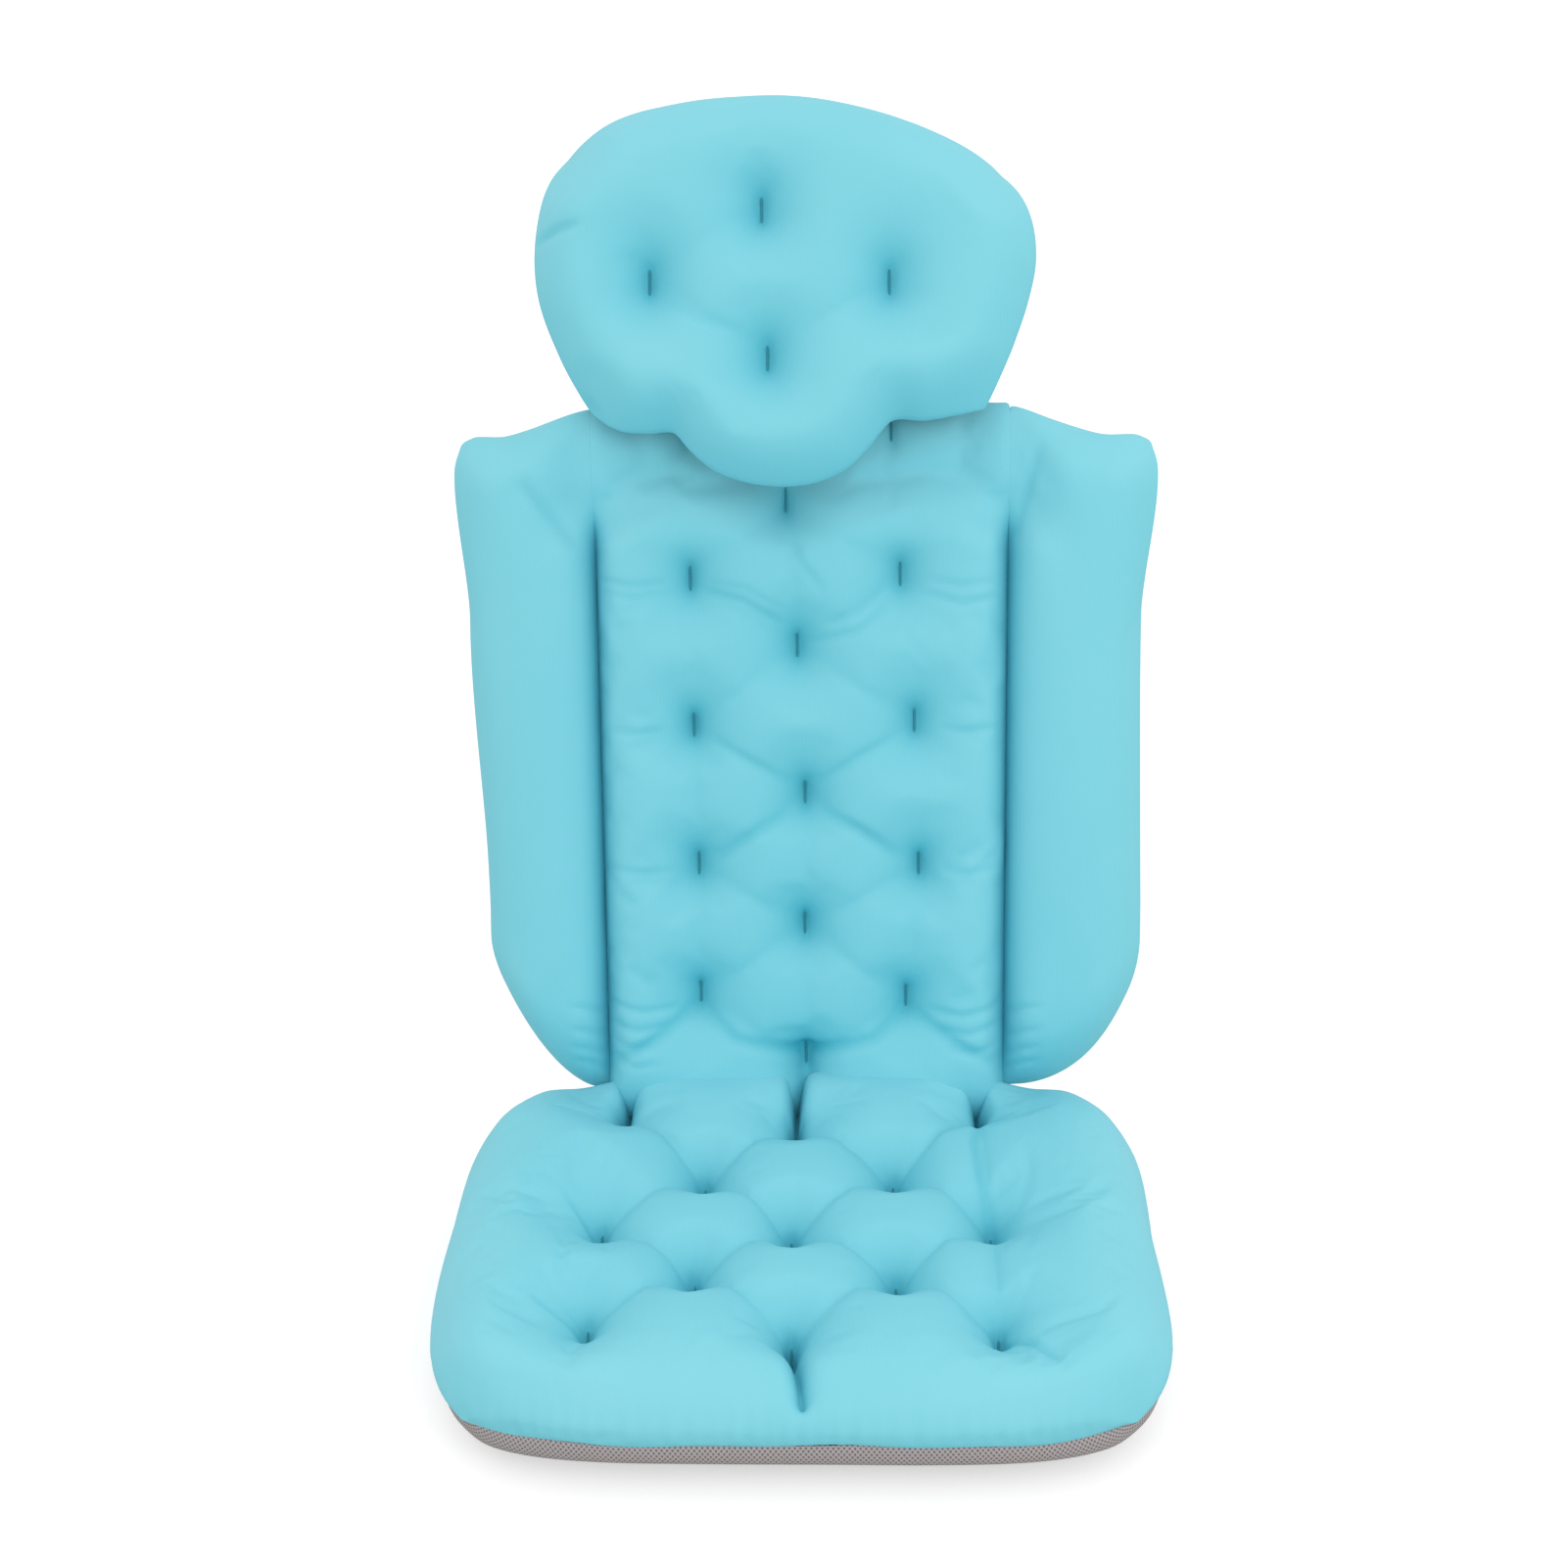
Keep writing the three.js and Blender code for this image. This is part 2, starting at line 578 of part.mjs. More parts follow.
// Rolled seam along a folding line, turned about the line itself.
function seamBead(name, length, along) {
  const geometry = new THREE.CylinderGeometry(
    SEAM_BEAD_RADIUS, SEAM_BEAD_RADIUS, length, HOLE_SEGMENTS);
  if (along === 'u') geometry.rotateZ(Math.PI / 2);
  return piece(name, geometry, 'mesh');
}

// Fabric flap from the top hem of the back panel up to the neck seam: its profile in v and w
// ends under the rolled seam, clear of the head pillow when that tilts back.
function neckFlap() {
  const foot = new THREE.Vector2(PANEL_HEIGHT + HEM + GAP, SEAM_HEIGHT - HEM);
  const head = new THREE.Vector2(
    PANEL_HEIGHT - NECK_DROP - FLAP_THICKNESS / 2, HEAD_STAND - 2 * HINGE_OFFSET);
  const bend = new THREE.Vector2(foot.x, SEAM_HEIGHT + GAP);
  const line = [foot, bend, head];
  const behind = line.map((p) => p.clone().setX(p.x + FLAP_THICKNESS)).reverse();
  const geometry = new THREE.ExtrudeGeometry(new THREE.Shape([...line, ...behind]), {
    depth: NECK_SEAM_LENGTH, bevelEnabled: false, steps: 1,
  });
  const [u, v, w] = [flatPoint(1, 0), flatPoint(0, 1), new THREE.Vector3(0, 0, 1)];
  geometry.applyMatrix4(new THREE.Matrix4().makeBasis(v, w, u));
  geometry.translate(-NECK_SEAM_LENGTH / 2, 0, 0);
  return piece('neck_flap', geometry, 'mesh');
}

function backGroup() {
  const back = cushion('back', panelPlan(), [
    ...cupPair('low_', BACK_CUP_SIDE, BACK_CUP_LOW),
    ...cupPair('high_', BACK_CUP_SIDE, PANEL_HEIGHT - BACK_CUP_DROP),
  ]);
  const seamFoot = WING_FOOT_INNER + DRAW_IN;
  const seamTop = WING_TOP - 2 * DRAW_IN;
  for (const [side, hand] of [['left', -1], ['right', 1]]) {
    back.add(cushion(`${side}_wing`, wingPlan(hand), []));
    const bead = seamBead(`${side}_wing_seam`, seamTop - seamFoot, 'v');
    bead.position.set(hand * PANEL_HALF, (seamFoot + seamTop) / 2, SEAM_HEIGHT);
    back.add(bead);
  }
  const neck = seamBead('neck_seam', NECK_SEAM_LENGTH, 'u');
  neck.position.set(0, PANEL_HEIGHT - NECK_DROP, HEAD_STAND - HINGE_OFFSET);
  back.add(neck, neckFlap());
  const head = cushion('head', headPlan(), cupPair('', HEAD_CUP_SIDE, HEAD_CUP_RISE));
  head.position.set(0, PANEL_HEIGHT - NECK_DROP, HEAD_STAND);
  head.rotation.x = -HEAD_LEAN;
  back.add(head);
  return back;
}

function bathPillow() {
  const pillow = new THREE.Group();
  const seat = cushion('seat', seatPlan(), [
    ...cupPair('front_', SEAT_CUP_SIDE, -SEAT_CUP_FRONT),
    ...cupPair('rear_', SEAT_CUP_SIDE, -SEAT_CUP_REAR),
  ]);
  const fold = seamBead('seat_back_seam', SEAT_SEAM_LENGTH, 'u');
  fold.position.z = SEAM_HEIGHT;
  seat.add(fold);
  // The back's own frame: v up the back, w towards the sitter, folding about the seam.
  const back = backGroup();
  const hinge = new THREE.Group();
  back.position.z = -SEAM_HEIGHT;
  hinge.rotation.x = Math.PI / 2 - BACK_RECLINE;
  hinge.position.z = SEAM_HEIGHT;
  hinge.add(back);
  const whole = new THREE.Group();
  whole.add(seat, hinge);
  pillow.add(whole);
  pillow.updateMatrixWorld(true);
  const box = new THREE.Box3().setFromObject(whole, true);
  const centre = box.getCenter(new THREE.Vector3());
  whole.position.set(-centre.x, -centre.y, -box.min.z);
  return pillow;
}

export default bathPillow();
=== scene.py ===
import json

import bmesh
import bpy
import numpy as np
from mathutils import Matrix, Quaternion, Vector

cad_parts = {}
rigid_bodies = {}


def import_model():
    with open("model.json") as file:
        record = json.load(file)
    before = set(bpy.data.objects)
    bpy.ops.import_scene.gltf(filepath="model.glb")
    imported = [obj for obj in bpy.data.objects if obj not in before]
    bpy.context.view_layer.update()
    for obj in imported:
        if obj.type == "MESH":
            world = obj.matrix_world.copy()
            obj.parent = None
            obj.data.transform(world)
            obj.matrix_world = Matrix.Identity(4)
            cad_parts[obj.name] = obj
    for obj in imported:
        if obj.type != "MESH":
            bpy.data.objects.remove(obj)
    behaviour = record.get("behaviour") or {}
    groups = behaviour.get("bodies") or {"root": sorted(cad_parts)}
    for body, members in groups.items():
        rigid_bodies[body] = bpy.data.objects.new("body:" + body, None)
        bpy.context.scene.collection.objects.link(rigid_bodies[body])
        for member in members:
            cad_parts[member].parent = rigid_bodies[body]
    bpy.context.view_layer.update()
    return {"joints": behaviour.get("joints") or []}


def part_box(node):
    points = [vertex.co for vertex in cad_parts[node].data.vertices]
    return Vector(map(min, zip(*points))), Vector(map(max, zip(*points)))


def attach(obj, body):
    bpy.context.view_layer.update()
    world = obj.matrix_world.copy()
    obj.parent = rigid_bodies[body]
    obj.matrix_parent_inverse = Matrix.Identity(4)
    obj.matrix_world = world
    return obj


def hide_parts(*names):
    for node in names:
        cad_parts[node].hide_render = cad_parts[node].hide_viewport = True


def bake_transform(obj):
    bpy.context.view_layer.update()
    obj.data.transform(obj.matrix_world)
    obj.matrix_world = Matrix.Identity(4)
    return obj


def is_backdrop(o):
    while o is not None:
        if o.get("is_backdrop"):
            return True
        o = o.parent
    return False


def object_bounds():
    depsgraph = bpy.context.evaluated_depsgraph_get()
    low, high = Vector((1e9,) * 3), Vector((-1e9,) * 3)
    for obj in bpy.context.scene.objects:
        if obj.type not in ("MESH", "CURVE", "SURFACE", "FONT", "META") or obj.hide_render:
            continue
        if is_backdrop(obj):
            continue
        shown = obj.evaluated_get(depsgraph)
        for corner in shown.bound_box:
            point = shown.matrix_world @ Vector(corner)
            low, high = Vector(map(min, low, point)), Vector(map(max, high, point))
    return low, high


for item in list(bpy.data.objects):
    bpy.data.objects.remove(item)
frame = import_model()


# Studio. A white floor and surround with a big soft lamp in front at the right, as for a
# cut-out product photograph. The camera stands 24 degrees above the seat and 1.4 m
# away, a little to the right, with a slight roll.
CAMERA_PLACE = Vector((0.0353, -1.1896, 0.8453))
CAMERA_TARGET = Vector((-0.0108, 0.0893, 0.2755))
CAMERA_ROLL = np.radians(-1.05)
CAMERA_LENS = 52.29
SENSOR_WIDTH = 36
FLOOR_HALF = 6.0
SURROUND_LIGHT = 0.93
KEY_PLACE = Vector((0.9, -1.7, 1.3))
KEY_SIZE = 1.3
KEY_WATTS = 7
FLOOR_WHITE = "#dadada"
FLOOR_GLOW = 0.5
PURE_WHITE = "#ffffff"


def linear(code):
    """An sRGB hex colour as linear RGBA.

    Each channel c gives c / 12.92 near black, and else ((c + 0.055) / 1.055) ** 2.4.
    """
    c = np.array([int(code[i:i + 2], 16) for i in (1, 3, 5)]) / 255
    return (*np.where(c < 0.04045, c / 12.92, ((c + 0.055) / 1.055) ** 2.4), 1)


def add(tree, kind, inputs=(), **settings):
    """Adds a shader node with its settings, and fills its inputs with values or links."""
    made = tree.nodes.new("ShaderNode" + kind)
    for key, value in settings.items():
        setattr(made, key, value)
    for key, value in dict(inputs).items():
        if isinstance(value, bpy.types.NodeSocket):
            tree.links.new(value, made.inputs[key])
        else:
            made.inputs[key].default_value = value
    return made


def new_material(name):
    """An empty material, its node tree and its output node."""
    material = bpy.data.materials.new(name)
    material.use_nodes = True
    material.node_tree.nodes.clear()
    return material, material.node_tree, add(material.node_tree, "OutputMaterial")


def aim(thing, place, target):
    """Puts a camera or lamp at place, looking at target with its top up."""
    thing.location = place
    thing.rotation_mode = "QUATERNION"
    thing.rotation_quaternion = (target - place).to_track_quat("-Z", "Y")
    bpy.context.scene.collection.objects.link(thing)


scene = bpy.context.scene
scene.view_settings.view_transform = "Standard"
camera = bpy.data.objects.new("camera", bpy.data.cameras.new("camera"))
aim(camera, CAMERA_PLACE, CAMERA_TARGET)
camera.rotation_quaternion = camera.rotation_quaternion @ Quaternion((0, 0, 1), CAMERA_ROLL)
camera.data.sensor_width = SENSOR_WIDTH
camera.data.lens = CAMERA_LENS
scene.camera = camera

key = bpy.data.objects.new("key_lamp", bpy.data.lights.new("key_lamp", "AREA"))
key.data.energy = KEY_WATTS
key.data.size = KEY_SIZE
aim(key, KEY_PLACE, CAMERA_TARGET)

scene.world = bpy.data.worlds.new("surround")
scene.world.use_nodes = True
sky = scene.world.node_tree
sky.nodes.clear()
ray = add(sky, "LightPath")
seen = add(sky, "Math", {0: ray.outputs["Is Camera Ray"], 1: ray.outputs["Is Glossy Ray"]},
           operation="MAXIMUM")
strength = add(sky, "Mix", {"Factor": seen.outputs[0], "A": SURROUND_LIGHT, "B": 1.0})
backdrop = add(sky, "Background", {"Color": linear(PURE_WHITE),
                                   "Strength": strength.outputs[0]})
add(sky, "OutputWorld", {"Surface": backdrop.outputs[0]})

floor_mesh = bpy.data.meshes.new("floor")
floor_mesh.from_pydata([(x * FLOOR_HALF, y * FLOOR_HALF, 0) for x, y in
                        ((-1, -1), (1, -1), (1, 1), (-1, 1))], [], [(0, 1, 2, 3)])
floor = bpy.data.objects.new("floor", floor_mesh)
scene.collection.objects.link(floor)
paint, tree, out = new_material("white_floor")
ray = add(tree, "LightPath")
matt = add(tree, "BsdfDiffuse", {"Color": linear(FLOOR_WHITE)})
glow = add(tree, "Emission", {"Color": linear(PURE_WHITE), "Strength": FLOOR_GLOW})
both = add(tree, "AddShader", {0: matt.outputs[0], 1: glow.outputs[0]})
pick = add(tree, "MixShader", {"Fac": ray.outputs["Is Camera Ray"], 1: matt.outputs[0],
                               2: both.outputs[0]})
tree.links.new(pick.outputs[0], out.inputs["Surface"])
floor_mesh.materials.append(paint)
floor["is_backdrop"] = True


# Seat pad. One panel of turquoise polyester stretch knit, cut larger than its base so that it
# crowns over loose fibre, and drawn down by thirteen bar tacks in offset rows. Three sewn
# channels run from the last row to the fold, and one runs to the front edge.
JOINTS = {joint["name"]: joint for joint in frame["joints"]}
FOLD_LINE = np.array(JOINTS["back_fold"]["pos_m"])
SEAM_HEIGHT = 0.009
SEAT_HALF = 0.2115
SEAT_REAR = 0.0005
SEAT_FRONT = -0.3225
SEAT_CROWN = 0.055
SEAT_TUFTS = [
    (-0.115, -0.044), (-0.0055, -0.059), (0.111, -0.043), (-0.0602, -0.1085),
    (0.0554, -0.1065), (-0.1185, -0.1615), (-0.0057, -0.164), (0.1125, -0.159),
    (-0.0605, -0.206), (0.0555, -0.2075), (-0.117, -0.254), (-0.0032, -0.262),
    (0.1115, -0.2575)]
SEAT_TUCKS = (0.003, 0.005, 0.003, 0.005)
EDGE_RUN, EDGE_BELLY = 0.034, 0.42
TACK_LENGTH = 0.015
TACK_REACH = 0.0026
CHANNEL_REACH = 0.0009
CHANNEL_DRAW = 0.006
PINCH_LENGTH, PINCH_DEPTH, PINCH_WIDTH = 0.021, 0.0017, 0.0026
CREASE_FOR_FULL_SHADE = 0.007
WALL_RINGS = 6
CLOTH_PRESSURE = 4.0
CLOTH_STEPS = 20
LONGEST_MOVE = 0.012
UP = np.array([0.0, 0.0, 1.0])
ACROSS = np.array([1.0, 0.0, 0.0])
KNIT_LIT = "#8edce9"
KNIT_SHADE = "#83d7e5"
# Painted shade on faces that turn downwards.
KNIT_PAINTED_UNDERSIDE_SHADE = "#79d5e4"
# Painted shade in the pits at the tufts, the channels, the grooves and the creases.
KNIT_PAINTED_CREASE_SHADE = "#4abfd2"


def squircle(share, power):
    """Half width of a rounded oblong at a share of its half height.

    It is (1 - |share|^power / 2)^(1 / power), so the side and the end meet at each corner.
    """
    return (1 - np.abs(share) ** power / 2) ** (1 / power)


def smooth(x, low, high):
    """0 below low and 1 above high, with 3t^2 - 2t^3 between."""
    t = np.clip((x - low) / (high - low), 0, 1)
    return t * t * (3 - 2 * t)


def rise(inward, run, belly, power=2.2):
    """Share of the crown at a distance inside an edge: steep at first, and 1 from run inwards.

    It is belly + (1 - belly) * (1 - (1 - inward / run)^power).
    """
    return belly + (1 - belly) * (1 - (1 - np.clip(inward / run, 0, 1)) ** power)


def to_segment(u, v, start, end):
    """Distance of each (u, v) from the line between two places in the plan."""
    d = np.subtract(end, start)
    t = np.clip(((u - start[0]) * d[0] + (v - start[1]) * d[1]) / max(d @ d, 1e-12), 0, 1)
    return np.hypot(u - start[0] - t * d[0], v - start[1] - t * d[1])


def from_line(u, v, line_u, line_v):
    """Distance of each (u, v) from a whole side of the plan, given as a row of places."""
    far = np.full(u.shape, np.inf)
    for k in range(len(line_u) - 1):
        far = np.minimum(far, to_segment(u, v, (line_u[k], line_v[k]),
                                         (line_u[k + 1], line_v[k + 1])))
    return far


def pulled(height, u, v, *pulls):
    """Height let down beside lines, by any number of (lines, spread, share, power).

    Each line makes it 1 - share * exp(-(distance / spread)^power) of what it was.
    """
    for lines, spread, share, power in pulls:
        for start, end in lines:
            far = to_segment(u, v, start, end) / spread
            height = height * (1 - share * np.exp(-far ** power))
    return height


def through(x, *knots):
    """Smooth curve through (x, y) knots: cubic pieces with the mean slope of their neighbours."""
    at, height = np.array(knots).T
    slope = np.gradient(height, at)
    i = np.clip(np.searchsorted(at, x) - 1, 0, len(at) - 2)
    step = at[i + 1] - at[i]
    t = (x - at[i]) / step
    return (height[i] * (1 + 2 * t) * (1 - t) ** 2 + slope[i] * step * t * (1 - t) ** 2
            + height[i + 1] * t * t * (3 - 2 * t) - slope[i + 1] * step * t * t * (1 - t))


def patch(left, right, bottom, top, columns, rows):
    """Plan of a patch: u goes from left(b) to right(b), v from bottom(a) to top(a), evenly."""
    a, b = np.meshgrid(np.linspace(0, 1, columns), np.linspace(0, 1, rows))
    return left(b) + (right(b) - left(b)) * a, bottom(a) + (top(a) - bottom(a)) * b


def tack_lines(tufts, length=TACK_LENGTH):
    """A short upright line on each tuft, where its bar tack goes."""
    return [((u, v - length / 2), (u, v + length / 2)) for u, v in tufts]


def folds_between(tufts, reach):
    """Lines between tufts that lie within reach of each other."""
    return [(p, q) for i, p in enumerate(tufts) for q in tufts[i + 1:]
            if np.hypot(p[0] - q[0], p[1] - q[1]) < reach]


def inset(loop, amounts, counts):
    """Moves that draw a closed loop of four sides inwards, each by its own amount.

    A point moves by its side's amount along its inward normal. A corner moves to where both of
    its sides arrive, or by their mean where it is no corner at all, and the points beside it
    also move along their side by the corner's share of that, fading to nothing at the far end.
    counts are the points from each corner to the next.
    """
    ahead = np.roll(loop, -1, 0) - loop
    ahead /= np.linalg.norm(ahead, axis=1)[:, None]
    behind = np.roll(ahead, 1, 0)
    along = ahead + behind
    along /= np.linalg.norm(along, axis=1)[:, None]
    normal = np.stack([-along[:, 1], along[:, 0]], -1)
    starts = np.concatenate([[0], np.cumsum(counts)])[:4]
    corner = []
    for k, start in enumerate(starts):
        before, after = (np.array([-d[1], d[0]]) for d in (behind[start], ahead[start]))
        alike = before @ after
        a, b = amounts[k - 1], amounts[k]
        corner.append((a * (before - alike * after) + b * (after - alike * before))
                      / (1 - alike ** 2) if alike < 0.9 else normal[start] * (a + b) / 2)
    move = np.zeros(loop.shape)
    for k, (start, count) in enumerate(zip(starts, counts)):
        first, last = corner[k], corner[(k + 1) % 4]
        t = np.arange(count)[:, None] / count
        side = slice(start, start + count)
        move[side] = normal[side] * amounts[k] + along[side] * (
            (1 - t) * (first @ ahead[start]) + t * (last @ ahead[start + count - 1]))
        move[start] = first
    return move


def rim(grid):
    """A grid's rim as one loop (bottom, right, top, left), and how many places each side has."""
    rows, columns = grid.shape[:2]
    return (np.concatenate([grid[0, :-1], grid[:-1, -1], grid[-1, :0:-1], grid[:0:-1, 0]]),
            (columns - 1, rows - 1, columns - 1, rows - 1))


def hung_skin(name, u, v, w, tucks, seam, over=True):
    """An open skin as a piece, with its points and its seam's indices: a grid, with rings below.

    The rings follow a quarter ellipse that moves in by each side's tuck (bottom, right, top,
    left): over bulges out before it turns in, and otherwise the wall curls up from below.
    The flat plan unrolls the wall outwards by the length along it. A seam that isn't level is
    given as a function of u and v.
    """
    index = np.arange(u.size).reshape(u.shape)
    loop, counts = rim(index)
    grid = np.stack([u, v, w], -1).reshape(-1, 3)
    edge = grid[loop]
    tuck = inset(edge[:, :2], tucks, counts)
    height = seam(edge[:, 0], edge[:, 1]) if callable(seam) else seam
    along = np.roll(edge, -1, 0) - np.roll(edge, 1, 0)
    inward = np.stack([-along[:, 1], along[:, 0]], -1)
    inward /= np.linalg.norm(inward, axis=1)[:, None]
    parts, plans = [grid], [grid[:, :2]]
    cells = np.stack([index[:-1, :-1], index[:-1, 1:], index[1:, 1:], index[1:, :-1]], -1)
    faces = [cells.reshape(-1, 4)]
    upper, before, length = loop, edge, 0
    for turn in np.linspace(0, np.pi / 2, WALL_RINGS + 1)[1:]:
        shift, fall = 1 - np.cos(turn), np.sin(turn)
        if not over:
            shift, fall = fall, shift
        ring = np.column_stack([edge[:, :2] + tuck * shift,
                                edge[:, 2] + (height - edge[:, 2]) * fall])
        length = length + np.linalg.norm(ring - before, axis=1)
        lower = sum(map(len, parts)) + np.arange(len(loop))
        faces.append(np.stack([np.roll(upper, -1), upper, lower, np.roll(lower, -1)], -1))
        parts.append(ring)
        plans.append(edge[:, :2] - inward * length[:, None])
        upper, before = lower, ring
    points, faces = np.vstack(parts), np.vstack(faces)
    piece = new_piece(name, points, faces if over else faces[:, ::-1], np.vstack(plans))
    return piece, points, upper


def new_piece(name, points, faces, plan):
    """A smooth-shaded mesh object, with its flat plan in metres as a UV map."""
    mesh = bpy.data.meshes.new(name)
    mesh.from_pydata(points.tolist(), [], [list(face) for face in faces])
    corner = np.zeros(len(mesh.loops), int)
    mesh.loops.foreach_get("vertex_index", corner)
    mesh.uv_layers.new(name="plan").data.foreach_set("uv", plan[corner].ravel())
    mesh.shade_smooth()
    made = bpy.data.objects.new(name, mesh)
    scene.collection.objects.link(made)
    return made


def points_of(mesh):
    """All vertices of a mesh as one array."""
    points = np.zeros(len(mesh.vertices) * 3)
    mesh.vertices.foreach_get("co", points)
    return points.reshape(-1, 3)


def note_painted_shade(piece, depth):
    """Stores how far each point of the grid is drawn down, from 0 to 1, as the share of the
    knit's colour that is painted shade.
    """
    tuck = np.zeros(len(piece.data.vertices))
    tuck[:depth.size] = np.clip(depth.ravel(), 0, 1)
    piece.data.attributes.new("tuck", "FLOAT", "POINT").data.foreach_set("value", tuck)


def creased(piece, strokes):
    """Presses creases into a finished skin, along its normals.

    Each stroke is (places, depth, width): the skin moves by -depth * exp(-(distance / width)^2)
    * 4 t (1 - t) to the power 0.4, where t is the share of the stroke's length at that point.
    """
    mesh = piece.data
    points = points_of(mesh)
    normals = np.zeros(points.size)
    mesh.vertex_normals.foreach_get("vector", normals)
    normals = normals.reshape(-1, 3)
    push = np.zeros(len(points))
    for places, depth, width in strokes:
        places = np.array(places)
        far = np.full(len(points), np.inf)
        along = np.zeros(len(points))
        lengths = np.linalg.norm(np.diff(places, axis=0), axis=1)
        run = np.concatenate([[0], np.cumsum(lengths)]) / lengths.sum()
        for k, length in enumerate(lengths):
            d = (places[k + 1] - places[k]) / length
            t = np.clip((points[:, :2] - places[k]) @ d / length, 0, 1)
            off = np.linalg.norm(points[:, :2] - places[k] - t[:, None] * length * d, axis=1)
            along = np.where(off < far, run[k] + t * (run[k + 1] - run[k]), along)
            far = np.minimum(far, off)
        fade = (4 * along * (1 - along)).clip(0.02) ** 0.4
        push += depth * np.exp(-(far / width) ** 2) * fade
    push *= smooth(normals[:, 2], 0.05, 0.35)
    mesh.vertices.foreach_set("co", (points - push[:, None] * normals).ravel())
    # Painted shade: each crease also deepens the knit's colour, fully where it is 7 mm deep.
    tuck = np.zeros(len(points))
    noted = mesh.attributes["tuck"].data
    noted.foreach_get("value", tuck)
    noted.foreach_set("value", np.clip(tuck + push / CREASE_FOR_FULL_SHADE, 0, 1))


def in_metres(strokes):
    """Strokes for creased, from strokes written in millimetres."""
    return [(np.array(places) / 1000, depth / 1000, width / 1000)
            for places, depth, width in strokes]


def pinches(tufts):
    """A narrow slit at each tuft, where the bar tack nips the skin."""
    return [(line, PINCH_DEPTH, PINCH_WIDTH) for line in tack_lines(tufts, PINCH_LENGTH)]


def inflate(piece, pins, slack, tight=None):
    """Cloth under pressure, held at its pins: slack is the spare length that makes it pucker.

    Where tight, a share for each point, is 1 there is no slack. Any move past the longest one
    is shortened, and the result goes into the mesh.
    """
    piece.vertex_groups.new(name="sewn").add([int(i) for i in pins], 1, "REPLACE")
    modifier = piece.modifiers.new("cloth", "CLOTH")
    cloth = modifier.settings
    cloth.quality = 5
    cloth.tension_stiffness = cloth.compression_stiffness = 15
    cloth.shear_stiffness = 5
    cloth.bending_stiffness = 0.5
    cloth.vertex_group_mass = "sewn"
    cloth.use_pressure = True
    cloth.uniform_pressure_force = CLOTH_PRESSURE
    cloth.shrink_min = cloth.shrink_max = -slack
    if tight is not None:
        group = piece.vertex_groups.new(name="tight")
        for level in range(1, 9):
            group.add(np.flatnonzero(np.round(tight * 8) == level).tolist(), level / 8, "REPLACE")
        cloth.vertex_group_shrink = "tight"
        cloth.shrink_max = 0
    cloth.effector_weights.gravity = 0
    modifier.collision_settings.use_collision = False
    for step in range(1, CLOTH_STEPS + 1):
        scene.frame_set(step)
    evaluated = piece.evaluated_get(bpy.context.evaluated_depsgraph_get())
    moved = points_of(evaluated.data)
    start = points_of(piece.data)
    piece.modifiers.clear()
    scene.frame_set(1)
    way = moved - start
    far = np.linalg.norm(way, axis=1)[:, None]
    way *= np.minimum(1, LONGEST_MOVE / np.maximum(far, 1e-9))
    piece.data.vertices.foreach_set("co", (start + way).ravel())


def put(piece, origin, up, out):
    """Moves a piece from its plan (u, v, w) to the scene: u along +X, v along up, w along out."""
    points = points_of(piece.data)
    placed = origin + points[:, :1] * ACROSS + points[:, 1:2] * up + points[:, 2:] * out
    piece.data.vertices.foreach_set("co", placed.ravel())
    piece.data.update()


def near_lines(points, lines, reach):
    """Indices of the points within reach of any line, in the plan."""
    far = np.min([to_segment(points[:, 0], points[:, 1], *line) for line in lines], axis=0)
    return np.flatnonzero(far < reach)


def mixed(tree, share, low, high):
    """The output of a mix of two colours, each a hex code or another output."""
    low, high = (linear(tone) if isinstance(tone, str) else tone for tone in (low, high))
    return add(tree, "Mix", {"Factor": share, "A": low, "B": high}, data_type="RGBA").outputs[2]


def stretch_knit():
    """Brushed polyester and elastane jersey, dyed turquoise: soft and nearly matt, with a faint
    pile that lightens where it turns away, and wales two millimetres apart that show close up.
    Painted shade: the colour is deeper on faces that turn downwards, and deeper still in the
    pits at the tufts, the channels, the grooves and the creases."""
    material, tree, out = new_material("turquoise_stretch_knit")
    plan = add(tree, "UVMap", uv_map="plan")
    object_place = add(tree, "TexCoord")
    cloud = add(tree, "TexNoise", {"Vector": object_place.outputs["Object"], "Scale": 14.0,
                                   "Detail": 3.0})
    shade = mixed(tree, cloud.outputs["Fac"], KNIT_LIT, KNIT_SHADE)
    # Painted shade: faces that turn downwards take the deeper underside colour.
    facing = add(tree, "SeparateXYZ", {0: object_place.outputs["Normal"]})
    under = add(tree, "MapRange", {"Value": facing.outputs[2], "From Min": 0.6,
                                   "From Max": -0.5})
    with_underside_shade = mixed(tree, under.outputs[0], shade, KNIT_PAINTED_UNDERSIDE_SHADE)
    # Painted shade from the tuck attribute: pits, channels, grooves and creases get deeper
    # colour.
    tuck = add(tree, "Attribute", attribute_name="tuck")
    closed = mixed(tree, tuck.outputs["Fac"], with_underside_shade, KNIT_PAINTED_CREASE_SHADE)
    wales = add(tree, "TexWave", {"Vector": plan.outputs["UV"], "Scale": 160.0,
                                  "Distortion": 1.2, "Detail": 2.0, "Detail Scale": 3.0},
                bands_direction="X")
    bump = add(tree, "Bump", {"Height": wales.outputs["Fac"], "Strength": 0.06,
                              "Distance": 0.0004})
    skin = add(tree, "BsdfPrincipled", {
        "Base Color": closed, "Roughness": 0.72, "Sheen Weight": 0.05,
        "Sheen Roughness": 0.4, "Normal": bump.outputs[0], "IOR": 1.45,
        "Specular IOR Level": 0.3})
    tree.links.new(skin.outputs[0], out.inputs["Surface"])
    return material


def dress(piece, material, slot, *nodes, fill=None):
    """Gives a piece its material and hides the CAD nodes that it stands for; the finish slot
    and fill are not used.
    """
    piece.data.materials.append(material)
    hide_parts(*nodes)


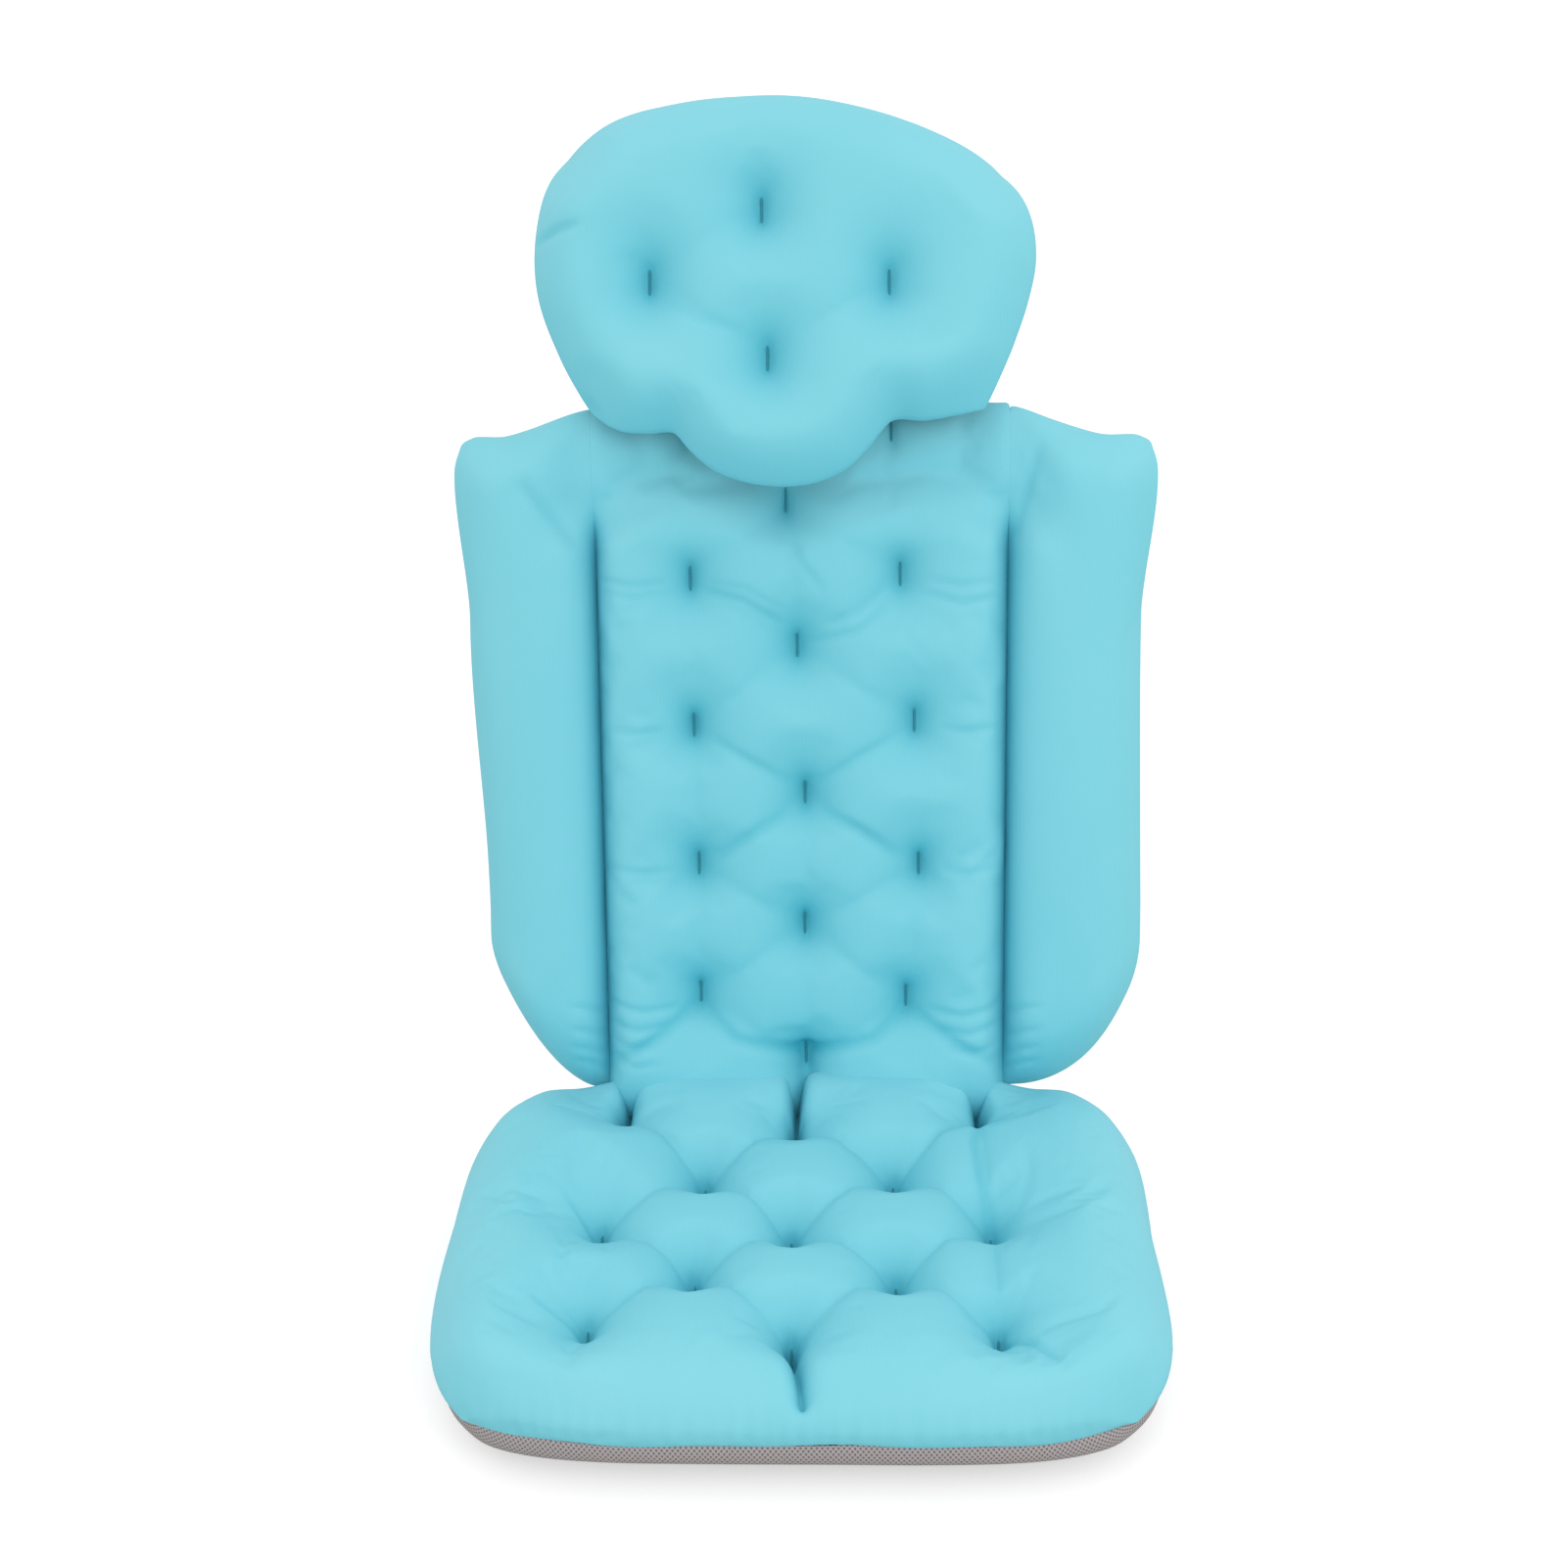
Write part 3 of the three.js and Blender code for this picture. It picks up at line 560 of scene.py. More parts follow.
def finish_skin(piece):
    """One level of subdivision made real, then the open seam closed with a flat face."""
    modifier = piece.modifiers.new("smooth", "SUBSURF")
    modifier.levels = modifier.render_levels = 1
    evaluated = piece.evaluated_get(bpy.context.evaluated_depsgraph_get())
    coarse, piece.data = piece.data, bpy.data.meshes.new_from_object(evaluated)
    piece.modifiers.clear()
    bpy.data.meshes.remove(coarse)
    body = bmesh.new()
    body.from_mesh(piece.data)
    bmesh.ops.holes_fill(body, edges=[edge for edge in body.edges if edge.is_boundary], sides=0)
    body.to_mesh(piece.data)
    body.free()


def seat_plan(columns, rows):
    """Plan of the seat: a rounded oblong of power 5, a little squarer in front at the left."""
    half = (SEAT_REAR - SEAT_FRONT) / 2
    middle = (SEAT_REAR + SEAT_FRONT) / 2

    def side(b, front):
        return SEAT_HALF * squircle(2 * b - 1, np.where(b < 0.5, front, 5.0))
    return patch(lambda b: 0.004 * smooth(0.45 - b, 0, 0.4) - side(b, 5.1),
                 lambda b: side(b, 4.9),
                 lambda a: middle - half * squircle(2 * a - 1, np.where(a < 0.5, 5.1, 4.7)),
                 lambda a: middle + half * squircle(2 * a - 1, 5.0), columns, rows)


def narrowed(u, v, line):
    """Moves grid columns towards a channel, so that it stays narrow.

    The distance from it is multiplied by 1 - 0.7 * exp(-(distance / 6 mm)^2).
    """
    (start_u, start_v), (end_u, end_v) = line
    middle = start_u + (v - start_v) / (end_v - start_v) * (end_u - start_u)
    low, high = min(start_v, end_v), max(start_v, end_v)
    within = smooth(v, low - 0.012, low + 0.004) * (1 - smooth(v, high - 0.004, high + 0.012))
    off = u - middle
    return middle + off * (1 - 0.7 * within * np.exp(-(off / CHANNEL_DRAW) ** 2))


u, v = seat_plan(141, 107)
channels = [(SEAT_TUFTS[k], (SEAT_TUFTS[k][0] * 0.97, SEAT_REAR)) for k in range(3)]
front_channel = (SEAT_TUFTS[11], (0.004, SEAT_FRONT + 0.012))
for line in channels + [front_channel]:
    u = narrowed(u, v, line)
w = np.full_like(u, SEAT_CROWN)
for inward in (u - u[:, :1], u[:, -1:] - u, v - v[:1]):
    w *= rise(inward, EDGE_RUN, EDGE_BELLY)
w *= rise(v[-1:] - v, 0.016, 0.5)
from_sides = np.minimum(u - u[:, :1], u[:, -1:] - u)
w *= 1 - 0.1 * smooth(from_sides, 0.03, 0.08) * smooth(-v, 0.02, 0.06)
w *= 1 - 0.2 * smooth(np.abs(u), 0.1, 0.15) * smooth(v, -0.07, -0.01)
full = w
w = pulled(w, u, v,
           (tack_lines(SEAT_TUFTS[:3], 0.01), 0.0085, 0.34, 1),
           (tack_lines(SEAT_TUFTS[3:], 0.01), 0.0125, 0.5, 1),
           (folds_between(SEAT_TUFTS, 0.086), 0.0085, 0.11, 1),
           ([(SEAT_TUFTS[2], SEAT_TUFTS[7]), (SEAT_TUFTS[7], SEAT_TUFTS[12])], 0.009, 0.08, 1),
           (channels, 0.0026, 0.75, 1),
           ([front_channel], 0.004, 0.45, 1))
drawn = 1 - w / full


def seat_seam(u, v):
    """Height of the seat's seam: 9 mm at the fold, 18 mm in front, and a little wavy."""
    wave = 0.0009 * np.sin(u * 34 + 1) + 0.0006 * np.sin(u * 83 + v * 60)
    return SEAM_HEIGHT + (0.009 + wave) * smooth(-v, 0.19, 0.3)


seat_pad, points, sewn = hung_skin("seat_pad", u, v, w + SEAM_HEIGHT, SEAT_TUCKS, seat_seam)
tacked = near_lines(points[:u.size], tack_lines(SEAT_TUFTS), TACK_REACH)
channelled = near_lines(points[:u.size], channels, CHANNEL_REACH)
note_painted_shade(seat_pad, drawn)
inward = np.minimum(from_sides, np.minimum(v - v[:1], v[-1:] - v))
tight = np.ones(len(points))
tight[:u.size] = 1 - 0.9 * smooth(inward.ravel(), 0.004, 0.06)
inflate(seat_pad, np.concatenate([sewn, tacked, channelled]), slack=0.04, tight=tight)
finish_skin(seat_pad)
SEAT_CREASES = in_metres([
    ([(111, -50), (105.5, -85), (108, -120), (112.5, -152)], 2.2, 3.4),
    ([(112, -260), (125, -273), (142, -296)], 2.2, 3),
    ([(-118.5, -164), (-130, -154), (-142, -140)], 1.4, 2.8),
    ([(-117, -256), (-130, -252), (-148, -245)], 1.2, 2.8)])
creased(seat_pad, pinches(SEAT_TUFTS) + SEAT_CREASES)


def pucker_front(piece):
    """Small upright puckers where the front wall is gathered to its seam: two sines along u."""
    points = points_of(piece.data)
    u, v, w = points.T
    near = smooth(-v, 0.3, 0.318) * smooth(0.052 - w, 0, 0.03) * smooth(w, 0.016, 0.024)
    ripple = np.sin(u * 610 + 2 * np.sin(u * 47)) + 0.6 * np.sin(u * 371 + 3 * np.sin(u * 31))
    points[:, 1] += 0.0004 * ripple * near
    piece.data.vertices.foreach_set("co", points.ravel())


pucker_front(seat_pad)
SEAT_ORIGIN = FOLD_LINE - SEAM_HEIGHT * UP
SEAT_PLACE = (SEAT_ORIGIN, np.array([0.0, 1.0, 0.0]), UP)
put(seat_pad, *SEAT_PLACE)
knit = stretch_knit()
dress(seat_pad, knit, "cover_fabric", "seat_cover", "seat_filling", fill=0.8)
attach(seat_pad, "seat")


# Back panel. The same knit in one long strip between the two wing seams, tufted by fifteen bar
# tacks in a single and a double row by turns. It is thin under the head pillow and ends in a
# flat skirt behind the seat's rear lobes.
def leaning(degrees):
    """The up and out directions of a cushion that leans back."""
    lean = np.radians(degrees)
    return (np.array([0.0, np.sin(lean), np.cos(lean)]),
            np.array([0.0, -np.cos(lean), np.sin(lean)]))


BACK_UP, BACK_OUT = leaning(12)
BACK_ORIGIN = FOLD_LINE - SEAM_HEIGHT * BACK_OUT
BACK_PLACE = (BACK_ORIGIN, BACK_UP, BACK_OUT)
WING_LINE = 0.128
PANEL_LOW = 0.0025
PANEL_TOP = 0.476
PANEL_FOOT_HALF = 0.122
PANEL_FOOT = 0.042
PANEL_CROWN = 0.037
PANEL_NECK_CROWN = 0.016
PANEL_TUFTS = [
    (0.0005, 0.06), (-0.067, 0.103), (0.065, 0.1), (0.0004, 0.148),
    (-0.0668, 0.188), (0.073, 0.1876), (0.0012, 0.2338), (-0.0682, 0.2775),
    (0.07, 0.28), (-0.0029, 0.3277), (-0.0689, 0.3699), (0.0612, 0.372),
    (-0.0094, 0.417), (-0.07, 0.458), (0.056, 0.46)]
PANEL_TUCKS = (0.002, 0.001, 0.003, 0.001)
HEM_GAP = 0.00002
GROOVE = 0.011
SHOULDER_CROWN = 0.026


def panel_plan(columns, rows):
    """Plan of the panel: upright sides that narrow smoothly over the lowest 42 mm."""
    widening = WING_LINE - HEM_GAP - PANEL_FOOT_HALF

    def half(b):
        v = PANEL_LOW + (PANEL_TOP - PANEL_LOW) * b
        return PANEL_FOOT_HALF + widening * smooth(v, 0, PANEL_FOOT)

    return patch(lambda b: -half(b), half, lambda a: PANEL_LOW + 0 * a,
                 lambda a: PANEL_TOP + 0 * a, columns, rows)


def crisp_sides(piece, shape):
    """Keeps the left and right rims of a skin's grid as sharp edges, where it meets another."""
    rows, columns = shape
    pairs = np.zeros(len(piece.data.edges) * 2, int)
    piece.data.edges.foreach_get("vertices", pairs)
    pairs = pairs.reshape(-1, 2)
    on_side = [(pairs < rows * columns).all(1) & (pairs % columns == k).all(1)
               for k in (0, columns - 1)]
    sharp = on_side[0] | on_side[1]
    piece.data.attributes.new("sharp_edge", "BOOLEAN", "EDGE").data.foreach_set("value", sharp)
    piece.data.attributes.new("crease_edge", "FLOAT", "EDGE").data.foreach_set(
        "value", sharp.astype(float))


def above_seam(v):
    """0 along the wing's seam and 1 where panel and wing share one shoulder above it."""
    return smooth(v, 0.385, 0.425)


def from_side(inward, v, run):
    """Share of the full height beside the wing line: steep at the groove, level at the top."""
    level = above_seam(v)
    return (1 - level) * rise(inward, run, 0, 4.2) + level * smooth(inward, 0, run * 1.3)


def groove_painted_shade(across, v):
    """Painted shade in the groove along the wing line: the knit's deeper colour, gone 6 mm away.
    """
    return 0.6 * (1 - above_seam(v)) * (1 - smooth(np.abs(across - WING_LINE), 0, 0.006))


def shoulder(v):
    """Height at the wing line over the seam: nothing along the seam, a round shoulder above."""
    return GROOVE + (SHOULDER_CROWN - GROOVE) * smooth(v, 0.386, 0.436) * rise(
        PANEL_TOP - v, 0.03, 0.35)


u, v = panel_plan(61, 111)
w = PANEL_CROWN + (PANEL_NECK_CROWN - PANEL_CROWN) * smooth(v, 0.392, 0.434)
w = w * rise(v - PANEL_LOW, 0.05, 0.2) * rise(PANEL_TOP - v, 0.03, 0.35)
full = w
w = pulled(w, u, v,
           (tack_lines(PANEL_TUFTS[:13], 0.012), 0.013, 0.56, 1),
           (tack_lines(PANEL_TUFTS[13:], 0.012), 0.013, 0.22, 1),
           (folds_between(PANEL_TUFTS[:13], 0.092), 0.01, 0.07, 1),
           ([((0, PANEL_LOW), PANEL_TUFTS[0])], 0.006, 0.45, 1))
drawn = 1 - w / full
low_edge = smooth(v, 0.036, 0.05)
edge = (1 - low_edge) * 0.42 * w + low_edge * shoulder(v)
w = edge + (w - edge) * from_side(np.minimum(u - u[:, :1], u[:, -1:] - u), v, 0.026)
panel, points, sewn = hung_skin("back_panel", u, v, w + SEAM_HEIGHT, PANEL_TUCKS, SEAM_HEIGHT)
tacked = near_lines(points[:u.size], tack_lines(PANEL_TUFTS), TACK_REACH)
sides = np.flatnonzero(np.abs(points[:, 0]) > WING_LINE - 0.0011)
note_painted_shade(panel, drawn + groove_painted_shade(np.abs(u), v))
crisp_sides(panel, u.shape)
inflate(panel, np.concatenate([sewn, tacked, sides]), slack=0.01)


def keep_to(piece, low, high):
    """Limits a skin to the contact plane beside it: u stays between low and high."""
    points = points_of(piece.data)
    points[:, 0] = np.clip(points[:, 0], low, high)
    piece.data.vertices.foreach_set("co", points.ravel())


keep_to(panel, HEM_GAP - WING_LINE, WING_LINE - HEM_GAP)
finish_skin(panel)
PANEL_CREASES = in_metres([
    ([(-66, 96), (-45, 76), (0, 64), (45, 76), (64, 93)], 3, 4.2),
    ([(-70, 96), (-95, 76), (-124, 60)], 2.6, 4),
    ([(68, 93), (95, 74), (124, 59)], 2.6, 4),
    ([(-123.5, 371), (-104, 367.5), (-83, 369)], 1.4, 2.4),
    ([(-123, 364), (-103, 360), (-82, 362.5)], 1, 2.4),
    ([(-121, 277), (-105, 275.5), (-86, 276.5)], 1.3, 2.4),
    ([(-122, 189), (-102, 186), (-82, 186.5)], 1.1, 2.4),
    ([(76, 362), (98, 356), (120, 359)], 1.5, 2.4),
    ([(78, 370), (98, 367), (118, 369)], 1.1, 2.4),
    ([(85, 278), (101, 276), (121, 278)], 1.3, 2.4),
    ([(88, 186), (103, 185), (122, 188)], 1.1, 2.4),
    ([(-123, 99), (-102, 95), (-80, 96.5)], 1.5, 2.4),
    ([(-124, 86), (-106, 82), (-88, 85)], 1.4, 2.4),
    ([(-123, 74), (-110, 70), (-96, 72)], 1.1, 2.4),
    ([(78, 95), (100, 92), (123, 97)], 1.5, 2.4),
    ([(85, 82), (105, 80), (124, 85)], 1.4, 2.4),
    ([(90, 70), (108, 67), (123.5, 71)], 1.3, 2.4),
    ([(-122.5, 62), (-108, 58), (-92, 60)], 1.1, 2.4),
    ([(4, 331), (34, 339), (53, 354)], 1.5, 2.6),
    ([(18, 343), (35, 351), (51, 364)], 1.3, 2.4),
    ([(-60, 363), (-36, 358), (-11, 342)], 1.8, 2.8),
    ([(-56, 369), (-34, 365), (-12, 352)], 1.1, 2.4),
    ([(-6, 396), (1, 380), (14, 364)], 1.3, 2.6),
    ([(-56, 270), (-35, 259), (-8, 242)], 1.1, 2.8),
    ([(59, 272), (35, 260), (9, 242)], 1.1, 2.8),
    ([(-56, 193), (-30, 211), (-8, 224)], 2.1, 3.4),
    ([(11, 224), (35, 213), (61, 194)], 2.1, 3.4)])
creased(panel, pinches(PANEL_TUFTS) + PANEL_CREASES)
put(panel, *BACK_PLACE)
dress(panel, knit, "cover_fabric", "back_cover", "back_filling", fill=0.7)
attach(panel, "back")


# Wings. Two long bolsters of the same knit beside the back, plumper than the panel, sewn to it
# along a line that stops short of the top, so that panel and wing share one soft shoulder there.
WING_CROWN = 0.04
WING_EDGES = {-1: (0.2022, 0.0072, 0.0048), 1: (0.2146, -0.0022, 0.0068)}
WING_FOLDS = {-1: ((-0.136, 0.391), (-0.168, 0.428)), 1: ((0.13, 0.393), (0.145, 0.45))}
WING_FOOT_POWER = {-1: 1.52, 1: 1.92}
WING_FOOT_DROP = {-1: 0.1035, 1: 0.1015}
WING_TUCKS = {-1: (0.006, 0.001, 0.006, 0.006), 1: (0.006, 0.006, 0.006, 0.001)}
WING_FOOT_INNER = 0.137
WING_FOOT_TOP = 0.138


def wing_plan(hand, columns, rows):
    """Plan of a wing: a quarter-round foot, a nearly straight outer side and a sloping top."""
    edge, drift, flare = WING_EDGES[hand]
    power = WING_FOOT_POWER[hand]
    drop = WING_FOOT_DROP[hand]

    def foot(u):
        share = np.clip((u - WING_FOOT_INNER) / (edge - WING_FOOT_INNER), 0, 1)
        return WING_FOOT_TOP - drop * (1 - share ** power) ** (1 / power)

    def outer(b):
        v = 0.09 + 0.362 * b
        share = np.clip((WING_FOOT_TOP - v) / drop, 0, 1)
        return (WING_FOOT_INNER + (edge - WING_FOOT_INNER) * (1 - share ** power) ** (1 / power)
                + drift * smooth(v, 0.15, 0.34) + flare * smooth(v, 0.34, 0.43)
                - 0.004 * smooth(b, 0.94, 1) ** 2)

    def bottom(a):
        return foot(WING_LINE + (outer(0 * a) - WING_LINE) * a)

    def top(a):
        return (0.475 - 0.015 * smooth(a, -0.1, 0.75) - 0.002 * a
                - 0.004 * smooth(a, 0.85, 1) ** 2 - 0.0008 * (hand + 1) * smooth(a, 0, 0.3))

    u, v = patch(lambda b: WING_LINE + HEM_GAP + 0 * b, outer, bottom, top, columns, rows)
    return (u, v) if hand > 0 else (-u[:, ::-1], v[:, ::-1])


wings = {}
for hand, side, body in ((-1, "left", "left_wing"), (1, "right", "right_wing")):
    u, v = wing_plan(hand, 21, 101)
    across, outer = np.abs(u), np.abs(u).max(1)[:, None]
    w = WING_CROWN * rise(outer - across, EDGE_RUN, EDGE_BELLY) * rise(v - v[:1], 0.062, 0.22)
    w = w * rise(v[-1:] - v, EDGE_RUN, EDGE_BELLY)
    w = pulled(w, u, v, ([WING_FOLDS[hand]], 0.006, 0.08, 2))
    edge = shoulder(v)
    w = edge + (w - edge) * from_side(across - WING_LINE, v, 0.03)
    wing, points, sewn = hung_skin(side + "_bolster", u, v, w + SEAM_HEIGHT, WING_TUCKS[hand],
                                   SEAM_HEIGHT)
    sides = np.flatnonzero(np.abs(points[:, 0]) < WING_LINE + 0.0011)
    note_painted_shade(wing, groove_painted_shade(across, v))
    crisp_sides(wing, u.shape)
    inflate(wing, np.concatenate([sewn, sides]), slack=0.0)
    keep_to(wing, *((WING_LINE + HEM_GAP, 1) if hand > 0 else (-1, -WING_LINE - HEM_GAP)))
    finish_skin(wing)
    gathers = [([(hand * 0.129, low), (hand * 0.138, low + 0.007), (hand * 0.15, low + 0.01)],
                0.0011, 0.0022) for low in (0.05, 0.061, 0.074, 0.09)]
    creased(wing, [(WING_FOLDS[hand], 0.0016, 0.003)] + gathers)
    put(wing, *BACK_PLACE)
    dress(wing, knit, "cover_fabric", body + "_cover", body + "_filling", fill=0.9)
    wings[hand] = wing


def bend_at_wing_line(piece):
    """Bakes a wing's placement into its mesh."""
    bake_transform(piece)


bend_at_wing_line(wings[-1])
bend_at_wing_line(wings[1])


# Head pillow. A plump oval of the same knit with four bar tacks, broad at the top, drawn in at
# the neck, with a round chin that overhangs the back. It leans back ten degrees more.
NECK_LINE = np.array(JOINTS["head_tilt"]["pos_m"])
HEAD_PLACE = (NECK_LINE + 0.0025 * BACK_OUT, *leaning(22))
HEAD_CROWN = 0.047
HEAD_TUFTS = [(-0.0181, 0.029), (-0.088, 0.0746), (0.0544, 0.0731), (-0.0212, 0.1162)]
HEAD_TUCKS = (0.006,) * 4


def head_plan(columns, rows):
    """Plan of the head: four smooth curves meet at the neck's and at the top's corners."""
    return patch(
        lambda b: -through(b, (0, 0.126), (0.2, 0.141), (0.45, 0.155), (0.7, 0.156),
                           (0.9, 0.148), (1, 0.1392)),
        lambda b: through(b, (0, 0.112), (0.27, 0.1275), (0.45, 0.1362), (0.65, 0.1412),
                          (0.85, 0.1362), (1, 0.124)),
        lambda a: through(a, (0, -0.001), (0.07, -0.0115), (0.15, -0.014), (0.215, -0.015),
                          (0.25, -0.024), (0.3, -0.034), (0.38, -0.042), (0.47, -0.0455),
                          (0.58, -0.043), (0.66, -0.034), (0.72, -0.02), (0.76, -0.0095),
                          (0.85, -0.0075), (1, 0.0)),
        lambda a: through(a, (0, 0.151), (0.1, 0.1688), (0.25, 0.18), (0.4, 0.184),
                          (0.5, 0.1845), (0.65, 0.1785), (0.8, 0.166), (0.92, 0.151),
                          (1, 0.1385)), columns, rows)


u, v = head_plan(71, 53)
w = np.full_like(u, HEAD_CROWN)
for line in ((u[:, 0], v[:, 0]), (u[:, -1], v[:, -1]), (u[0], v[0]), (u[-1], v[-1])):
    w *= rise(from_line(u, v, *line), 0.038, 0.4)
full = w
w = pulled(w, u, v, (tack_lines(HEAD_TUFTS, 0.012), 0.017, 0.5, 1.15),
           (folds_between(HEAD_TUFTS, 0.085), 0.012, 0.07, 1))
head_pad, points, sewn = hung_skin("head_pad", u, v, w + SEAM_HEIGHT, HEAD_TUCKS, SEAM_HEIGHT)
tacked = near_lines(points[:u.size], tack_lines(HEAD_TUFTS), TACK_REACH)
note_painted_shade(head_pad, 1 - w / full)
inflate(head_pad, np.append(sewn, tacked), slack=0.01)
finish_skin(head_pad)
creased(head_pad, pinches(HEAD_TUFTS) + in_metres([
    ([(-156, 98), (-142, 104), (-128, 106)], 2.2, 3.2),
    ([(-79, 63), (-56, 50), (-32, 43)], 1, 3)]))
put(head_pad, *HEAD_PLACE)
dress(head_pad, knit, "cover_fabric", "head_cover", "head_filling", fill=0.9)
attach(head_pad, "head")


# Bases. Three-millimetre warp-knitted polyester spacer mesh under every cushion, which lets the
# water drain: two netted faces on a springy core, in warm grey, turned up and sewn to the cover.
MESH_THREAD = "#b9b1b1"
MESH_HOLE = "#837b7c"
MESH_PITCH = 0.0029
MESH_ROW = 0.0023
TURN_UP = 0.008
BASE_PUFF = 0.0022


def spacer_mesh():
    """Spacer mesh: matt polyester yarn in bundles between staggered oval holes, 2.9 mm apart.
    The holes are darker, because the eye sees the shaded core through them."""
    material, tree, out = new_material("grey_spacer_mesh")
    plan = add(tree, "UVMap", uv_map="plan")
    turn = add(tree, "Mapping", {"Vector": plan.outputs["UV"],
                                 "Scale": (2 * np.pi / MESH_PITCH, np.pi / MESH_ROW, 1)})
    part = add(tree, "SeparateXYZ", {0: turn.outputs[0]})
    along = add(tree, "Math", {0: part.outputs[0]}, operation="COSINE")
    cross = add(tree, "Math", {0: part.outputs[1]}, operation="COSINE")
    lattice = add(tree, "Math", {0: along.outputs[0], 1: cross.outputs[0]}, operation="MULTIPLY")
    hole = add(tree, "MapRange", {"Value": lattice.outputs[0], "From Min": 0.1,
                                  "From Max": 0.6})
    tone = mixed(tree, hole.outputs[0], MESH_THREAD, MESH_HOLE)
    depth = add(tree, "Math", {0: 1.0, 1: hole.outputs[0]}, operation="SUBTRACT")
    bump = add(tree, "Bump", {"Height": depth.outputs[0], "Strength": 0.8, "Distance": 0.0008})
    skin = add(tree, "BsdfPrincipled", {"Base Color": tone, "Roughness": 0.85,
                                        "Normal": bump.outputs[0], "Specular IOR Level": 0.25})
    tree.links.new(skin.outputs[0], out.inputs["Surface"])
    return material


def drawn_in(u, v, amounts):
    """Moves the plan's sides (bottom, right, top, left) inwards, and the inside with them.

    The moves of the four sides are blended as in a Coons patch: side to side, both ways, less
    the blend of the corners.
    """
    rows, columns = u.shape
    grid = np.stack([u, v], -1)
    loop, counts = rim(grid)
    move = inset(loop, amounts, counts)
    first, second, third = np.cumsum(counts)[:3]
    low, right = move[:first + 1], move[first:second + 1]
    high, left = move[second:third + 1][::-1], np.vstack([move[third:], move[:1]])[::-1]
    b, a = np.meshgrid(np.linspace(0, 1, rows), np.linspace(0, 1, columns), indexing="ij")
    a, b = a[..., None], b[..., None]
    sides = ((1 - b) * low[None] + b * high[None] + (1 - a) * left[:, None] + a * right[:, None])
    corners = ((1 - a) * (1 - b) * low[0] + a * (1 - b) * low[-1]
               + (1 - a) * b * high[0] + a * b * high[-1])
    moved = grid + sides - corners
    return moved[..., 0], moved[..., 1]


def base(name, u, v, tucks, tufts, place, node, seam=SEAM_HEIGHT):
    """Closed base under a cushion: puffed 2.2 mm between the tacks, and turned up to the seam."""
    u, v = drawn_in(u, v, np.array(tucks) + TURN_UP)
    w = pulled(np.full_like(u, -BASE_PUFF), u, v, (tack_lines(tufts), 0.016, 1, 2))
    for inward in (u - u[:, :1], u[:, -1:] - u, v - v[:1], v[-1:] - v):
        w = w * rise(inward, 0.02, 0)
    made, _, _ = hung_skin(name, u, v, w, (-TURN_UP,) * 4, seam, over=False)
    finish_skin(made)
    put(made, *place)
    dress(made, net, "spacer_mesh", node)
    return made


net = spacer_mesh()
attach(base("seat_base", *seat_plan(59, 45), SEAT_TUCKS, SEAT_TUFTS,
             SEAT_PLACE, "seat_mesh", seat_seam), "seat")
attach(base("back_base", *panel_plan(35, 63), PANEL_TUCKS, PANEL_TUFTS, BACK_PLACE,
             "back_mesh"), "back")
for hand, body in ((-1, "left_wing"), (1, "right_wing")):
    bend_at_wing_line(base(body + "_base", *wing_plan(hand, 17, 61), WING_TUCKS[hand], [],
                           BACK_PLACE, body + "_mesh"))
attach(base("head_base", *head_plan(45, 33), HEAD_TUCKS, HEAD_TUFTS, HEAD_PLACE,
             "head_mesh"), "head")


# Bar tacks. Short upright bars of dark teal polyester thread in satin stitch, sewn by machine
# right through cover, filling and base; each ties the cover down at a tuft.
TACK_WIDTH = 0.0013
TACK_HEIGHT = 0.0008
TUBE_SIDES = 10
TACK_THREAD = "#3ba6ba"
# Painted shade: the darker tone in the grooves between the threads.
TACK_PAINTED_GROOVE_SHADE = "#258496"


def run_along(path):
    """The length along a path up to each of its points."""
    return np.concatenate([[0], np.cumsum(np.linalg.norm(np.diff(path, axis=0), axis=1))])


def sleeve(rings, along, around):
    """Closed shell through rings of points, with flat ends; its flat plan is (along, around)."""
    index = np.arange(rings[..., 0].size).reshape(rings.shape[:2])
    after = np.roll(index, -1, 1)
    quads = np.stack([index[:-1], index[1:], after[1:], after[:-1]], -1).reshape(-1, 4)
    plan = np.stack(np.broadcast_arrays(along[:, None], around), -1)
    ends = [index[0].tolist(), index[-1][::-1].tolist()]
    return rings.reshape(-1, 3), quads.tolist() + ends, plan.reshape(-1, 2)


def tube(path, side, normal, half_width, half_height):
    """Closed tube on a path: path + cos(t) * half width * side + sin(t) * half height * normal.

    The half width and height may change along the path.
    """
    turn = np.linspace(0, 2 * np.pi, TUBE_SIDES, endpoint=False)
    wide, high = (np.broadcast_to(half, len(path))[:, None, None]
                  for half in (half_width, half_height))
    rings = (path[:, None] + np.cos(turn)[None, :, None] * wide * side
             + np.sin(turn)[None, :, None] * high * normal)
    return sleeve(rings, run_along(path), turn * np.max(half_width))


def joined(name, shells):
    """One object from several closed shells, with its normals pointing outwards."""
    points, faces, plans, start = [], [], [], 0
    for shell_points, shell_faces, plan in shells:
        faces += [[start + k for k in face] for face in shell_faces]
        points.append(shell_points)
        plans.append(plan)
        start += len(shell_points)
    made = new_piece(name, np.vstack(points), faces, np.vstack(plans))
    body = bmesh.new()
    body.from_mesh(made.data)
    bmesh.ops.recalc_face_normals(body, faces=body.faces)
    body.to_mesh(made.data)
    body.free()
    return made


